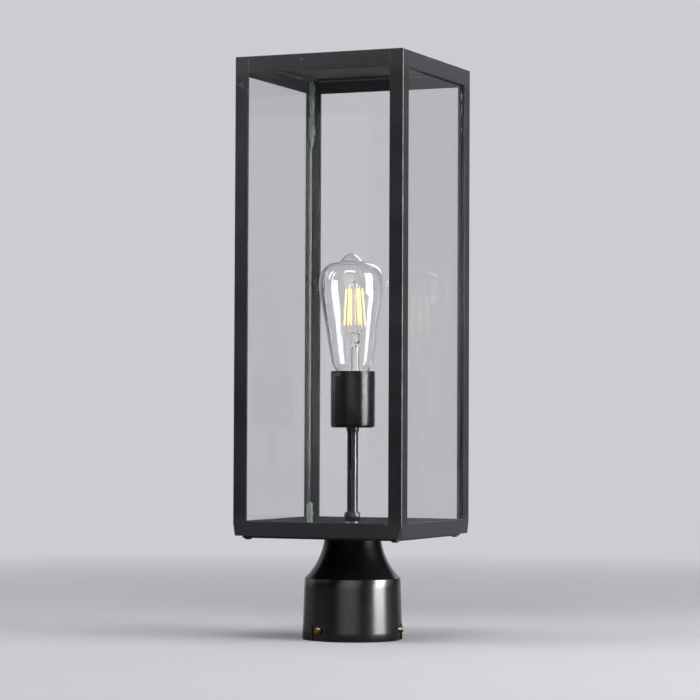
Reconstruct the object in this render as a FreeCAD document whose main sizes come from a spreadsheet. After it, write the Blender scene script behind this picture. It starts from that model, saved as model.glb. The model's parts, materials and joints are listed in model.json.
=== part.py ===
import FreeCAD, Part
import math
import os
import re
import Sketcher
from collections import namedtuple

# A post top lantern. Millimetres, +Z up. The origin is the centre of the fitter's rim, which
# rests on the ground or slips over a post. The front of the cage faces -Y.

doc = FreeCAD.newDocument("post_top_lantern")
sizes = doc.addObject("Spreadsheet::Sheet", "sizes")

DRIVING = [
    # cage of welded angle
    ("cage_side", 160.0, "outside of the square cage"),
    ("cage_height", 421.0, "cage with its roof"),
    ("angle_leg", 12.7, "leg of the steel angle"),
    ("angle_wall", 2.0, "wall of the steel angle"),
    ("angle_root", 0.3, "round in the root of the angle"),
    ("arris_flat", 0.5, "ground flat on the outer corner of a post"),
    ("grind_rise", 11.0, "height of the ground-back foot of a post"),
    ("grind_depth", 2.2, "how far a post's foot is ground back along the diagonal"),
    ("roof_thick", 2.5, "roof plate"),
    ("roof_edge", 0.5, "chamfer on the roof's edges"),
    # glazing
    ("glass_thick", 3.0, "pane"),
    ("glass_gap", 0.3, "pane to flange and pane to pane"),
    ("glass_headroom", 0.8, "pane's top to the rail above"),
    ("bead_size", 2.6, "sealant in the corner between two panes"),
    ("bead_scoop", 2.35, "radius of the sealant's hollow face"),
    ("bead_high", 64.0, "length of the sealant at the top"),
    ("bead_low", 24.0, "length of the sealant at the foot"),
    # base plate and its screws
    ("plate_inset", 6.0, "cage's face to the plate's edge"),
    ("plate_thick", 2.0, "base plate"),
    ("plate_corner", 1.0, "chamfer on the plate's corners"),
    ("screw_inset", 10.2, "cage's face to the plate screw's axis"),
    ("screw_radius", 2.0, "plate screw's shank"),
    ("screw_thread_gap", 0.05, "shank to tapped hole"),
    ("screw_hole_gap", 0.3, "shank to the hole in the plate"),
    ("screw_tip", 1.5, "shank past the rail's flange"),
    ("screw_head_radius", 3.5, "pan head"),
    ("screw_head_high", 2.2, "pan head"),
    ("screw_crown_radius", 2.2, "flat crown of the pan head"),
    ("screw_brim", 1.0, "straight brim of the pan head"),
    ("screw_point", 0.6, "chamfer on the screw's point"),
    # fitter
    ("fitter_height", 91.0, "rim to the underside of the plate"),
    ("bore_radius", 40.0, "bore for a 3 inch post"),
    ("bore_depth", 49.0, "rim to the ledge that stops the post"),
    ("ledge_width", 3.0, "ledge that stops the post"),
    ("rim_wall", 4.6, "collar's wall at the rim"),
    ("shoulder_wall", 2.8, "collar's wall under the shoulder"),
    ("shoulder_height", 55.0, "rim to the shoulder"),
    ("shoulder_edge", 0.7, "broken edge of the shoulder"),
    ("neck_radius", 25.2, "neck where it meets the plate"),
    ("neck_curve", 56.0, "radius of the concave neck"),
    ("neck_wall", 3.5, "wall of the neck"),
    ("cavity_rise", 1.2, "shoulder to the foot of the neck's cavity"),
    ("cavity_waist_radius", 27.4, "bend in the wall of the neck's cavity"),
    ("cavity_waist_height", 71.0, "rim to that bend"),
    ("web_thick", 6.0, "web that closes the neck"),
    ("fitter_turn", 99.0, "degrees from the front to a set screw"),
    # set screws and their recessed seats
    ("seat_count", 3.0, "set screws round the collar"),
    ("seat_width", 14.0, "recessed seat"),
    ("seat_height", 14.0, "recessed seat, from the rim"),
    ("seat_depth", 1.5, "recessed seat, from the collar's face"),
    ("grub_height", 9.5, "rim to the set screw's axis"),
    ("grub_radius", 3.0, "set screw"),
    ("grub_gap", 0.05, "set screw to its tapped hole"),
    ("grub_proud", 3.5, "set screw proud of its seat"),
    ("grub_edge", 0.5, "chamfer on the set screw"),
    # stem
    ("pipe_radius", 4.9, "stem pipe"),
    ("pipe_wall", 1.0, "stem pipe"),
    ("pipe_tail", 8.0, "pipe below the web"),
    ("pipe_clear", 0.25, "pipe to a plain hole"),
    ("pipe_thread_gap", 0.05, "pipe to what is threaded on it"),
    ("nut_flats", 14.0, "lock nuts, across flats"),
    ("nut_thick", 4.0, "lock nuts"),
    ("washer_radius", 8.5, "lock washer"),
    ("washer_thick", 0.8, "lock washer"),
    ("coupling_radius", 7.15, "coupling at the pipe's foot"),
    ("coupling_height", 16.0, "coupling at the pipe's foot"),
    ("coupling_edge", 1.0, "chamfer on the coupling's rims"),
    ("coupling_band", 5.8, "band at each end of the coupling"),
    ("coupling_groove", 0.7, "depth of the groove between the bands"),
    ("coupling_slope", 1.2, "side of the groove"),
    ("earth_offset", 14.0, "fitter's axis to the earth screw"),
    ("earth_radius", 1.9, "earth screw's shank"),
    ("earth_head_radius", 4.0, "earth screw's head"),
    ("earth_head_high", 2.4, "earth screw's head"),
    ("earth_edge", 0.7, "chamfer on the earth screw's head"),
    ("earth_depth", 4.5, "earth screw's hole in the web"),
    ("hole_slack", 0.5, "blind hole past the end of its screw"),
    # cup
    ("cup_bottom", 188.0, "rim of the fitter to the cup's underside"),
    ("cup_height", 50.5, "cup"),
    ("cup_radius", 19.8, "cup"),
    ("cup_wall", 1.0, "cup"),
    ("cup_round", 2.6, "round at the cup's bottom edge"),
    ("cup_cheek", 0.76, "that round's middle, from the corner it cuts"),
    ("cup_lip", 0.3, "broken edge at the cup's mouth"),
    ("ring_wall", 0.9, "ring under the cup, past the pipe"),
    ("ring_height", 3.6, "ring under the cup"),
    ("ring_slope", 0.6, "taper of the ring under the cup"),
    ("ring_taper", 2.2, "height of that taper"),
    # lampholder
    ("bracket_thick", 1.5, "lampholder's bracket"),
    ("bracket_margin", 1.8, "bracket beside the pipe's hole"),
    ("bracket_span", 30.0, "lampholder's bracket"),
    ("bracket_pitch", 22.0, "screw to screw on the bracket"),
    ("bracket_screw_radius", 1.25, "bracket screws"),
    ("bracket_head_radius", 2.4, "bracket screws"),
    ("bracket_head_high", 1.6, "bracket screws"),
    ("pipe_top_proud", 1.5, "pipe above the bracket"),
    ("holder_radius", 17.4, "lampholder's body"),
    ("holder_height", 41.0, "lampholder's body"),
    ("holder_edge", 1.0, "chamfer on the lampholder's body"),
    ("socket_lead", 0.6, "lead-in at the socket's mouth"),
    ("holder_floor", 8.5, "underside to the floor of the socket"),
    ("holder_relief", 4.5, "recess under the lampholder for the pipe and leads"),
    ("holder_relief_radius", 7.5, "recess under the lampholder"),
    ("wire_radius", 1.8, "holes for the leads"),
    ("wire_pitch", 5.0, "axis to a hole for the leads"),
    ("shell_inner", 13.6, "lampholder's screw shell, inside"),
    ("shell_wall", 0.4, "lampholder's screw shell"),
    ("shell_height", 29.5, "lampholder's screw shell"),
    ("shell_ledge", 2.5, "shell's turned-in foot"),
    ("shell_gap", 0.15, "shell to the lampholder's body"),
    ("tongue_width", 5.0, "centre contact"),
    ("tongue_thick", 0.5, "centre contact"),
    ("tongue_foot", 9.6, "half the length of the tongue's foot"),
    ("tongue_crest", 3.0, "half the length of the tongue's crest"),
    ("tongue_lip", 1.2, "turned-down end of the tongue"),
    ("terminal_radius", 1.6, "terminal screws"),
    ("terminal_proud", 1.1, "terminal screw's head above its flat"),
    ("terminal_head", 2.6, "terminal screw's head"),
    ("terminal_shank", 2.9, "terminal screw below its head"),
    ("terminal_margin", 0.6, "head of a terminal screw to the edge of its flat"),
    ("terminal_height", 6.0, "bracket to the terminal screw"),
    ("terminal_flat", 1.6, "flat cut for a terminal screw"),
    # bulb
    ("bulb_lift", 0.3, "end contact above the tongue"),
    ("tongue_rise", 6.7, "floor of the socket to the tongue's crest"),
    ("cap_radius", 13.2, "bulb's cap"),
    ("cap_wall", 0.4, "bulb's cap"),
    ("cap_height", 21.5, "bulb's cap"),
    ("cap_taper", 2.2, "slope at the cap's foot, across"),
    ("cap_taper_high", 2.0, "slope at the cap's foot, up"),
    ("tip_contact_radius", 4.6, "end contact"),
    ("tip_contact_thick", 1.3, "end contact"),
    ("tip_contact_flat", 3.0, "flat face of the end contact"),
    ("insulator_height", 3.7, "glass insulator under the cap"),
    ("insulator_brim", 1.2, "insulator beyond the end contact"),
    ("neck_rise", 13.5, "cap's foot to the foot of the bulb's neck"),
    ("bulb_radius", 29.2, "widest part of the bulb"),
    ("bulb_neck_radius", 12.4, "bulb's neck inside the cap"),
    ("bulb_length", 134.0, "end contact to the drawn tip"),
    ("bulb_wall", 0.8, "glass of the bulb"),
    ("flare_seat", 0.5, "cap's rim above the foot of the flare"),
    ("bulb_flare_radius", 14.6, "top of the flare"),
    ("flare_rise", 2.6, "cap's rim to the top of the flare"),
    ("bulb_hollow_radius", 17.2, "foot of the waist's curve"),
    ("hollow_rise", 8.3, "cap's rim to the foot of the waist's curve"),
    ("waist_curve", 40.0, "waist"),
    ("bulb_waist_radius", 20.2, "top of the waist"),
    ("bulb_waist_height", 44.9, "end contact to the top of the waist"),
    ("bulb_hip_radius", 27.6, "top of the straight flank"),
    ("bulb_hip_height", 90.2, "end contact to the top of the flank"),
    ("hip_curve", 86.0, "flank to belly"),
    ("bulb_belly_height", 104.0, "end contact to the widest part"),
    ("belly_curve", 22.0, "belly to crown"),
    ("bulb_crown_radius", 26.2, "crown's shoulder"),
    ("bulb_crown_height", 118.2, "end contact to the crown's shoulder"),
    ("crown_lean", 37.0, "slope of the crown's shoulder, degrees"),
    ("crown_curve", 19.0, "crown"),
    ("dome_gutter", 3.2, "gutter round the dome, across"),
    ("gutter_rise", 1.9, "gutter round the dome, up"),
    ("dome_radius", 8.8, "foot of the dome at the bulb's tip"),
    ("dome_rise", 5.8, "dome at the bulb's tip"),
    ("stick_count", 6.0, "filament sticks"),
    ("stick_radius", 0.85, "filament stick"),
    ("stick_length", 32.0, "filament stick"),
    ("stick_top_radius", 7.2, "axis to a stick's top"),
    ("stick_foot_radius", 9.4, "axis to a stick's foot"),
    ("stick_top_drop", 32.0, "bulb's tip to the sticks' tops"),
    ("support_radius", 0.3, "support wires"),
    ("support_gap", 0.25, "stick's end to its wire"),
    ("tail_drop", 7.0, "sticks' feet to where their wires reach the pinch"),
    ("tail_reach", 3.05, "axis to where those wires reach the pinch"),
    ("stem_rod_radius", 1.3, "glass rod that carries the sticks"),
    ("stem_tube_radius", 3.7, "glass stem"),
    ("stem_lap", 1.2, "stem's flare where it is sealed to the neck"),
    ("stem_flare_high", 9.0, "stem's flare"),
    ("pinch_drop", 14.0, "sticks' feet to the foot of the pinch"),
    ("pinch_high", 6.0, "pinch of the stem"),
    ("pinch_radius", 2.95, "top of the pinch"),
    ("pinch_taper", 4.0, "pinch to the rod"),
    ("hub_radius", 2.5, "glass bead at the top of the rod"),
    ("hub_rise", 2.0, "sticks' tops to the foot of the bead"),
    ("hub_edge", 1.0, "shoulders of the bead"),
    ("hub_high", 4.0, "glass bead"),
]


def fill_sheet():
    for row, (alias, number, note) in enumerate(DRIVING, start=1):
        sizes.set(f"A{row}", note)
        sizes.set(f"B{row}", str(number))
        sizes.setAlias(f"B{row}", alias)
    doc.recompute()


fill_sheet()

# ---------------------------------------------------------------------------
# Worked-out places, each from the driving sizes.

HALF = "(cage_side / 2)"
CAGE_FOOT = "(fitter_height + plate_thick)"
ROOF_FOOT = f"({CAGE_FOOT} + cage_height - roof_thick)"
PANE_FOOT = f"({CAGE_FOOT} + angle_wall)"
PANE_HEIGHT = "(cage_height - roof_thick - 2 * angle_wall - glass_headroom)"
PANE_OUTER = f"({HALF} - angle_wall - glass_gap)"
PANE_INNER = f"({PANE_OUTER} - glass_thick)"
SCREW_PLACE = f"({HALF} - screw_inset)"
SHOULDER_RADIUS = "(bore_radius + shoulder_wall)"
RIM_RADIUS = "(bore_radius + rim_wall)"
COLLAR_DRAFT = f"(({RIM_RADIUS} - {SHOULDER_RADIUS}) / shoulder_height)"
SEAT_FLOOR = f"({RIM_RADIUS} - {COLLAR_DRAFT} * grub_height - seat_depth)"
WEB_FOOT = "(fitter_height - web_thick)"
PIPE_FOOT = f"({WEB_FOOT} - pipe_tail)"
CUP_FLOOR = "(cup_bottom + cup_wall)"
BRACKET_FOOT = f"({CUP_FLOOR} + nut_thick)"
HOLDER_FOOT = f"({BRACKET_FOOT} + bracket_thick)"
PIPE_TOP = f"({HOLDER_FOOT} + pipe_top_proud)"
SOCKET_FLOOR = f"({HOLDER_FOOT} + holder_floor)"
SHELL_OUTER = "(shell_inner + shell_wall)"
BULB_FOOT = f"({SOCKET_FLOOR} + tongue_rise + bulb_lift)"
PLAIN_HOLE = "(pipe_radius + pipe_clear)"
THREADED_HOLE = "(pipe_radius + pipe_thread_gap)"

CLOSE = 0.001                               # two places are the same within this

nodes = []
Arc = namedtuple("Arc", "radius turn")      # turn is 1 for anticlockwise travel, -1 for clockwise


def linked(text):
    """A sum of sheet names, written so that the document can follow it."""
    return re.sub(r"\b[a-z]+(?:_[a-z]+)+\b", r"sizes.\g<0>", str(text))


def number(text):
    return float(sizes.evalExpression(linked(text)))


# ---------------------------------------------------------------------------
# Sketches and features.

def new_body(label, x="0", y="0", z="0", turn="0"):
    """A sub-part with its own name and place."""
    body = doc.addObject("PartDesign::Body", label)
    body.Label = label
    place(body, x, y, z, turn)
    nodes.append(body)
    return body


def place(thing, x="0", y="0", z="0", turn="0"):
    spin = FreeCAD.Rotation(FreeCAD.Vector(0, 0, 1), 1)
    thing.Placement = FreeCAD.Placement(FreeCAD.Vector(0, 0, 0), spin)
    thing.setExpression("Placement.Base.x", linked(x))
    thing.setExpression("Placement.Base.y", linked(y))
    thing.setExpression("Placement.Base.z", linked(z))
    thing.setExpression("Placement.Rotation.Angle", f"({linked(turn)}) * 1 deg")


def origin_feature(body, role):
    return next(item for item in body.Origin.OriginFeatures if item.Role == role)


def new_sketch(body, name, plane, lift="0"):
    sketch = body.newObject("Sketcher::SketchObject", name)
    sketch.AttachmentSupport = [(origin_feature(body, plane), "")]
    sketch.MapMode = "FlatFace"
    sketch.setExpression("AttachmentOffset.Base.z", linked(lift))
    return sketch


def hold_point(rules, formulas, shape, end, across, up):
    """Pins one corner to its two sizes, measured from the sketch's origin."""
    for kind, axis, text in (("DistanceX", -2, across), ("DistanceY", -1, up)):
        if str(text) == "0":
            rules.append(("PointOnObject", shape, end, axis))
            continue
        if number(text) < 0:
            rules.append((kind, shape, end, -1, 1, -number(text)))
            formulas[len(rules) - 1] = f"-({text})"
        else:
            rules.append((kind, -1, 1, shape, end, number(text)))
            formulas[len(rules) - 1] = text


def write_rules(sketch, rules, formulas):
    sketch.addConstraint([Sketcher.Constraint(*rule) for rule in rules])
    for index, text in formulas.items():
        sketch.setExpression(f"Constraints[{index}]", linked(text))


def arc_between(start, finish, radius, turn):
    """The arc from start to finish that bends by less than a half turn."""
    chord = finish - start
    reach = math.sqrt(radius ** 2 - (chord.Length / 2) ** 2)
    sideways = FreeCAD.Vector(-chord.y, chord.x, 0).normalize() * reach * turn
    centre = (start + finish) / 2 + sideways
    first, last = (start, finish) if turn > 0 else (finish, start)
    angles = [math.atan2(point.y - centre.y, point.x - centre.x) for point in (first, last)]
    circle = Part.Circle(centre, FreeCAD.Vector(0, 0, 1), radius)
    return Part.ArcOfCircle(circle, angles[0], angles[1])


def outline(body, name, plane, path, lift="0"):
    """A closed outline through corners; an Arc between two corners bends the edge there."""
    sketch = new_sketch(body, name, plane, lift)
    corners = []
    bends = {}
    for item in path:
        if isinstance(item, Arc):
            bends[len(corners) - 1] = item
        else:
            corners.append(item)
    points = [FreeCAD.Vector(number(across), number(up), 0) for across, up in corners]
    rules = []
    formulas = {}
    ends = []
    for index, start in enumerate(points):
        finish = points[(index + 1) % len(points)]
        bend = bends.get(index)
        if bend is None:
            sketch.addGeometry(Part.LineSegment(start, finish), False)
            ends.append((1, 2))
        else:
            arc = arc_between(start, finish, number(bend.radius), bend.turn)
            sketch.addGeometry(arc, False)
            ends.append((1, 2) if bend.turn > 0 else (2, 1))
    for index, (across, up) in enumerate(corners):
        after = (index + 1) % len(corners)
        rules.append(("Coincident", index, ends[index][1], after, ends[after][0]))
        hold_point(rules, formulas, index, ends[index][0], across, up)
        if index in bends:
            rules.append(("Radius", index, number(bends[index].radius)))
            formulas[len(rules) - 1] = bends[index].radius
    write_rules(sketch, rules, formulas)
    return sketch


def circles(body, name, plane, rounds, lift="0"):
    """Full circles, each (across, up, radius)."""
    sketch = new_sketch(body, name, plane, lift)
    rules = []
    formulas = {}
    for index, (across, up, radius) in enumerate(rounds):
        centre = FreeCAD.Vector(number(across), number(up), 0)
        normal = FreeCAD.Vector(0, 0, 1)
        sketch.addGeometry(Part.Circle(centre, normal, number(radius)), False)
        hold_point(rules, formulas, index, 3, across, up)
        rules.append(("Radius", index, number(radius)))
        formulas[len(rules) - 1] = radius
    write_rules(sketch, rules, formulas)
    return sketch


def pad(body, name, sketch, length, midplane=False, backwards=False):
    feature = body.newObject("PartDesign::Pad", name)
    feature.Profile = sketch
    feature.setExpression("Length", linked(length))
    feature.Midplane = midplane
    feature.Reversed = backwards
    return feature


def pocket(body, name, sketch, depth, midplane=False, backwards=False):
    feature = body.newObject("PartDesign::Pocket", name)
    feature.Profile = sketch
    feature.setExpression("Length", linked(depth))
    feature.Midplane = midplane
    feature.Reversed = backwards
    cuts.append((body, feature))
    return feature


def turned(body, name, sketch, kind="PartDesign::Revolution"):
    """A revolved solid or groove about the sketch's upright axis."""
    feature = body.newObject(kind, name)
    feature.Profile = sketch
    feature.ReferenceAxis = (sketch, ["V_Axis"])
    feature.Angle = 360
    if kind == "PartDesign::Groove":
        cuts.append((body, feature))
    return feature


def round_pattern(body, name, features, count):
    feature = body.newObject("PartDesign::PolarPattern", name)
    feature.Originals = features
    feature.Axis = (origin_feature(body, "Z_Axis"), [""])
    feature.Angle = 360
    feature.setExpression("Occurrences", linked(count))
    body.Tip = feature


def chamfer(body, name, base, size, wanted):
    """A chamfer on the base's edges that the test picks."""
    doc.recompute()
    picked = [f"Edge{i}" for i, edge in enumerate(base.Shape.Edges, start=1) if wanted(edge)]
    feature = body.newObject("PartDesign::Chamfer", name)
    feature.Base = (base, picked)
    feature.setExpression("Size", linked(size))
    body.Tip = feature


def upright(edge):
    """A straight edge along Z."""
    run = edge.Vertexes[-1].Point - edge.Vertexes[0].Point
    return edge.Curve.TypeId == "Part::GeomLine" and abs(run.z) > 0.99 * run.Length


def at_height(edge, height):
    return all(abs(vertex.Point.z - height) < CLOSE for vertex in edge.Vertexes)


def rectangle(left, right, low, high):
    return [(left, low), (right, low), (right, high), (left, high)]


def hexagon(flats):
    """Corners of a hexagon, given its size across flats."""
    corner = f"({flats} / sqrt(3))"
    half = f"({corner} / 2)"
    side = f"({flats} / 2)"
    return [(corner, "0"), (half, side), (f"-{half}", side), (f"-{corner}", "0"),
            (f"-{half}", f"-{side}"), (half, f"-{side}")]


def grouped(label, members):
    """Separate alike solids that share one name."""
    group = doc.addObject("Part::Compound", label)
    group.Label = label
    group.Links = members
    nodes.append(group)


cuts = []
SIDES = ("front", "right", "rear", "left")
CORNERS = ("front_left", "front_right", "rear_right", "rear_left")


# ---------------------------------------------------------------------------
# Fitter: a drafted collar, a crisp shoulder and a concave neck, cast hollow.

def post_fitter():
    body = new_body("post_fitter", turn="fitter_turn")
    inner_neck = "(neck_radius - neck_wall)"
    ledge = "(bore_radius - ledge_width)"
    profile = outline(body, "fitter_profile", "XZ_Plane", [
        ("bore_radius", "0"),
        (RIM_RADIUS, "0"),
        (SHOULDER_RADIUS, "shoulder_height - shoulder_edge"),
        (f"{SHOULDER_RADIUS} - shoulder_edge", "shoulder_height"),
        Arc("neck_curve", -1),
        ("neck_radius", "fitter_height"),
        (PLAIN_HOLE, "fitter_height"),
        (PLAIN_HOLE, WEB_FOOT),
        (inner_neck, WEB_FOOT),
        ("cavity_waist_radius", "cavity_waist_height"),
        (ledge, "shoulder_height + cavity_rise"),
        (ledge, "bore_depth"),
        ("bore_radius", "bore_depth"),
    ])
    turned(body, "fitter_turning", profile)
    half_seat = "(seat_width / 2)"
    seat = outline(body, "seat_outline", "XZ_Plane",
                   rectangle(f"-{half_seat}", half_seat, "0", "seat_height"), lift=SEAT_FLOOR)
    recess = pocket(body, "seat_recess", seat, "seat_depth + rim_wall", backwards=True)
    hole = circles(body, "grub_circle", "XZ_Plane",
                   [("0", "grub_height", "grub_radius + grub_gap")], lift=SEAT_FLOOR)
    tapped = pocket(body, "grub_hole", hole, "2 * rim_wall")
    round_pattern(body, "seats_round_the_collar", [recess, tapped], "seat_count")
    earth = circles(body, "earth_circle", "XY_Plane",
                    [("earth_offset", "0", "earth_radius + grub_gap")], lift=WEB_FOOT)
    body.Tip = pocket(body, "earth_hole", earth, "earth_depth", backwards=True)


def base_plate():
    body = new_body("base_plate", z="fitter_height")
    edge = f"({HALF} - plate_inset)"
    shape = outline(body, "plate_outline", "XY_Plane", rectangle(f"-{edge}", edge, f"-{edge}", edge))
    pad(body, "plate_sheet", shape, "plate_thick")
    places = [(SCREW_PLACE, SCREW_PLACE), (f"-{SCREW_PLACE}", SCREW_PLACE),
              (f"-{SCREW_PLACE}", f"-{SCREW_PLACE}"), (SCREW_PLACE, f"-{SCREW_PLACE}")]
    rounds = [(x, y, "screw_radius + screw_hole_gap") for x, y in places]
    holes = circles(body, "plate_circles", "XY_Plane", rounds + [("0", "0", PLAIN_HOLE)])
    punched = pocket(body, "plate_holes", holes, "plate_thick", backwards=True)
    reach = number(edge)
    chamfer(body, "plate_corners", punched, "plate_corner",
            lambda edge: upright(edge) and abs(abs(edge.Vertexes[0].X) - reach) < CLOSE)


def set_screws():
    """Three brass set screws. At rest each tip is flush with the bore."""
    for index, name in enumerate(("set_screw_right", "set_screw_rear", "set_screw_front")):
        body = new_body(name, z="grub_height", turn=f"fitter_turn + {index} * 360 / seat_count")
        shape = circles(body, f"{name}_circle", "XZ_Plane", [("0", "0", "grub_radius")],
                        lift="bore_radius")
        shank = pad(body, f"{name}_shank", shape, f"{SEAT_FLOOR} + grub_proud - bore_radius")
        chamfer(body, f"{name}_ends", shank, "grub_edge",
                lambda edge: edge.Curve.TypeId == "Part::GeomCircle")


def plate_screws():
    """Four pan head screws, up through the plate into the tapped flanges of the rails."""
    tip = "(plate_thick + angle_wall + screw_tip)"
    for index, name in enumerate(CORNERS):
        x = SCREW_PLACE if "right" in name else f"-{SCREW_PLACE}"
        y = SCREW_PLACE if "rear" in name else f"-{SCREW_PLACE}"
        body = new_body(f"plate_screw_{name}", x=x, y=y, z="fitter_height", turn=f"{index} * 90")
        profile = outline(body, f"pan_head_{index}", "XZ_Plane", [
            ("0", "-screw_head_high"),
            ("screw_crown_radius", "-screw_head_high"),
            ("screw_head_radius", "-screw_brim"),
            ("screw_head_radius", "0"),
            ("screw_radius", "0"),
            ("screw_radius", f"{tip} - screw_point"),
            ("screw_radius - screw_point", tip),
            ("0", tip),
        ])
        turned(body, f"screw_turning_{index}", profile)


# ---------------------------------------------------------------------------
# Cage: angle posts of full height, rails butted between them, a plate for a roof.

def corner_posts():
    root = "angle_root"
    inner = f"(angle_wall - {HALF})"
    leg_end = f"(angle_leg - {HALF})"
    for index, name in enumerate(CORNERS):
        body = new_body(f"corner_post_{name}", z=CAGE_FOOT, turn=f"{index} * 90")
        section = outline(body, f"post_section_{index}", "XY_Plane", [
            (f"arris_flat - {HALF}", f"-{HALF}"),
            (leg_end, f"-{HALF}"),
            (leg_end, inner),
            (f"{inner} + {root}", inner),
            Arc(root, -1),
            (inner, f"{inner} + {root}"),
            (inner, leg_end),
            (f"-{HALF}", leg_end),
            (f"-{HALF}", f"arris_flat - {HALF}"),
        ])
        pad(body, f"post_bar_{index}", section, "cage_height - roof_thick")
        body.Tip = ground_foot(body, index)


def ground_foot(body, index):
    """The welder's grinding at the foot of a post: a shallow ramp across the outer corner."""
    corner = f"({HALF} * sqrt(2) - arris_flat / sqrt(2))"
    sketch = outline(body, f"grind_ramp_{index}", "XZ_Plane", [
        (f"-({corner} - grind_depth)", "0"),
        (f"-{corner}", "grind_rise"),
        (f"-({corner} + grind_depth)", "grind_rise"),
        (f"-({corner} + grind_depth)", "0"),
    ])
    tilt = FreeCAD.Rotation(FreeCAD.Vector(0, 1, 0), 45)
    sketch.AttachmentOffset = FreeCAD.Placement(FreeCAD.Vector(0, 0, 0), tilt)
    return pocket(body, f"ground_foot_{index}", sketch, "2 * angle_leg", midplane=True)


def rail_section(foot_up):
    """An angle's section, its flange at the top or at the foot."""
    outer = f"-{HALF}"
    wall = f"(angle_wall - {HALF})"
    leg = f"(angle_leg - {HALF})"
    if foot_up:
        return [(outer, "0"), (leg, "0"), (leg, "angle_wall"), (f"{wall} + angle_root", "angle_wall"),
                Arc("angle_root", -1), (wall, "angle_wall + angle_root"), (wall, "angle_leg"),
                (outer, "angle_leg")]
    inner = "(angle_leg - angle_wall)"
    return [(outer, "0"), (wall, "0"), (wall, f"{inner} - angle_root"), Arc("angle_root", -1),
            (f"{wall} + angle_root", inner), (leg, inner), (leg, "angle_leg"), (outer, "angle_leg")]


def rails():
    length = "cage_side - 2 * angle_leg"
    for index, side in enumerate(SIDES):
        top = new_body(f"top_rail_{side}", z=f"{ROOF_FOOT} - angle_leg", turn=f"{index} * 90")
        section = outline(top, f"top_section_{index}", "YZ_Plane", rail_section(False))
        pad(top, f"top_bar_{index}", section, length, midplane=True)
        low = new_body(f"bottom_rail_{side}", z=CAGE_FOOT, turn=f"{index} * 90")
        section = outline(low, f"low_section_{index}", "YZ_Plane", rail_section(True))
        pad(low, f"low_bar_{index}", section, length, midplane=True)
        if side in ("front", "rear"):
            screw_ears(low, index)


def screw_ears(body, index):
    """The flange of the front and rear rails runs on into the corners, tapped for the screws."""
    reach = f"({HALF} - angle_wall - angle_root)"
    near = f"(angle_wall - {HALF})"
    far = f"(angle_leg - {HALF})"
    shape = outline(body, f"ear_outline_{index}", "XY_Plane", rectangle(f"-{reach}", reach, near, far))
    pad(body, f"ears_{index}", shape, "angle_wall")
    rounds = [(x, f"-{SCREW_PLACE}", "screw_radius + screw_thread_gap")
              for x in (SCREW_PLACE, f"-{SCREW_PLACE}")]
    holes = circles(body, f"ear_circles_{index}", "XY_Plane", rounds)
    body.Tip = pocket(body, f"ear_holes_{index}", holes, "angle_wall", backwards=True)


def roof_plate():
    body = new_body("roof_plate", z=ROOF_FOOT)
    shape = outline(body, "roof_outline", "XY_Plane", rectangle(f"-{HALF}", HALF, f"-{HALF}", HALF))
    sheet = pad(body, "roof_sheet", shape, "roof_thick")
    top = number("roof_thick")
    chamfer(body, "roof_edges", sheet, "roof_edge",
            lambda edge: upright(edge) or at_height(edge, top))


def glass_panes():
    """Front and rear panes run the full width; the side panes stand between them."""
    side_reach = f"({PANE_INNER} - glass_gap)"
    for index, side in enumerate(SIDES):
        reach = PANE_OUTER if side in ("front", "rear") else side_reach
        body = new_body(f"glass_pane_{side}", z=PANE_FOOT, turn=f"{index} * 90")
        shape = outline(body, f"pane_outline_{index}", "XY_Plane",
                        rectangle(f"-{reach}", reach, f"-{PANE_OUTER}", f"-{PANE_INNER}"))
        pad(body, f"pane_{index}", shape, PANE_HEIGHT)


def sealant_dab(name, turn, foot, length):
    """A hollow-faced bead in the corner between two panes."""
    block = doc.addObject("Part::Box", f"{name}_block")
    scoop = doc.addObject("Part::Cylinder", f"{name}_scoop")
    for side in ("Length", "Width"):
        block.setExpression(side, linked("bead_size"))
    block.setExpression("Height", linked(length))
    scoop.setExpression("Radius", linked("bead_scoop"))
    scoop.setExpression("Height", linked(f"{length} + 2 * bead_size"))
    scoop.setExpression("Placement.Base.x", linked("bead_size"))
    scoop.setExpression("Placement.Base.y", linked("bead_size"))
    scoop.setExpression("Placement.Base.z", linked("-bead_size"))
    bead = doc.addObject("Part::Cut", name)
    bead.Base = block
    bead.Tool = scoop
    angle = math.radians(number(turn))
    corner = f"(-{PANE_INNER})"
    across = f"{corner} * {math.cos(angle):.0f} - {corner} * {math.sin(angle):.0f}"
    along = f"{corner} * {math.sin(angle):.0f} + {corner} * {math.cos(angle):.0f}"
    place(bead, x=across, y=along, z=foot, turn=turn)
    return bead


def glass_sealant():
    dabs = []
    for index, name in enumerate(CORNERS):
        high_foot = f"{PANE_FOOT} + {PANE_HEIGHT} - bead_high"
        dabs.append(sealant_dab(f"dab_high_{name}", f"{index} * 90", high_foot, "bead_high"))
        dabs.append(sealant_dab(f"dab_low_{name}", f"{index} * 90", PANE_FOOT, "bead_low"))
    grouped("glass_sealant", dabs)


# ---------------------------------------------------------------------------
# Stem: a threaded pipe through plate and fitter, its nuts, and the coupling at its foot.

def stem_pipe():
    body = new_body("stem_pipe", z=PIPE_FOOT)
    ring = circles(body, "pipe_circles", "XY_Plane",
                   [("0", "0", "pipe_radius"), ("0", "0", "pipe_radius - pipe_wall")])
    pad(body, "pipe_tube", ring, f"{PIPE_TOP} - {PIPE_FOOT}")


def hex_nut(label, z):
    body = new_body(label, z=z)
    shape = outline(body, f"{label}_hex", "XY_Plane", hexagon("nut_flats"))
    pad(body, f"{label}_blank", shape, "nut_thick")
    hole = circles(body, f"{label}_circle", "XY_Plane", [("0", "0", THREADED_HOLE)])
    body.Tip = pocket(body, f"{label}_bore", hole, "nut_thick", backwards=True)


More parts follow.
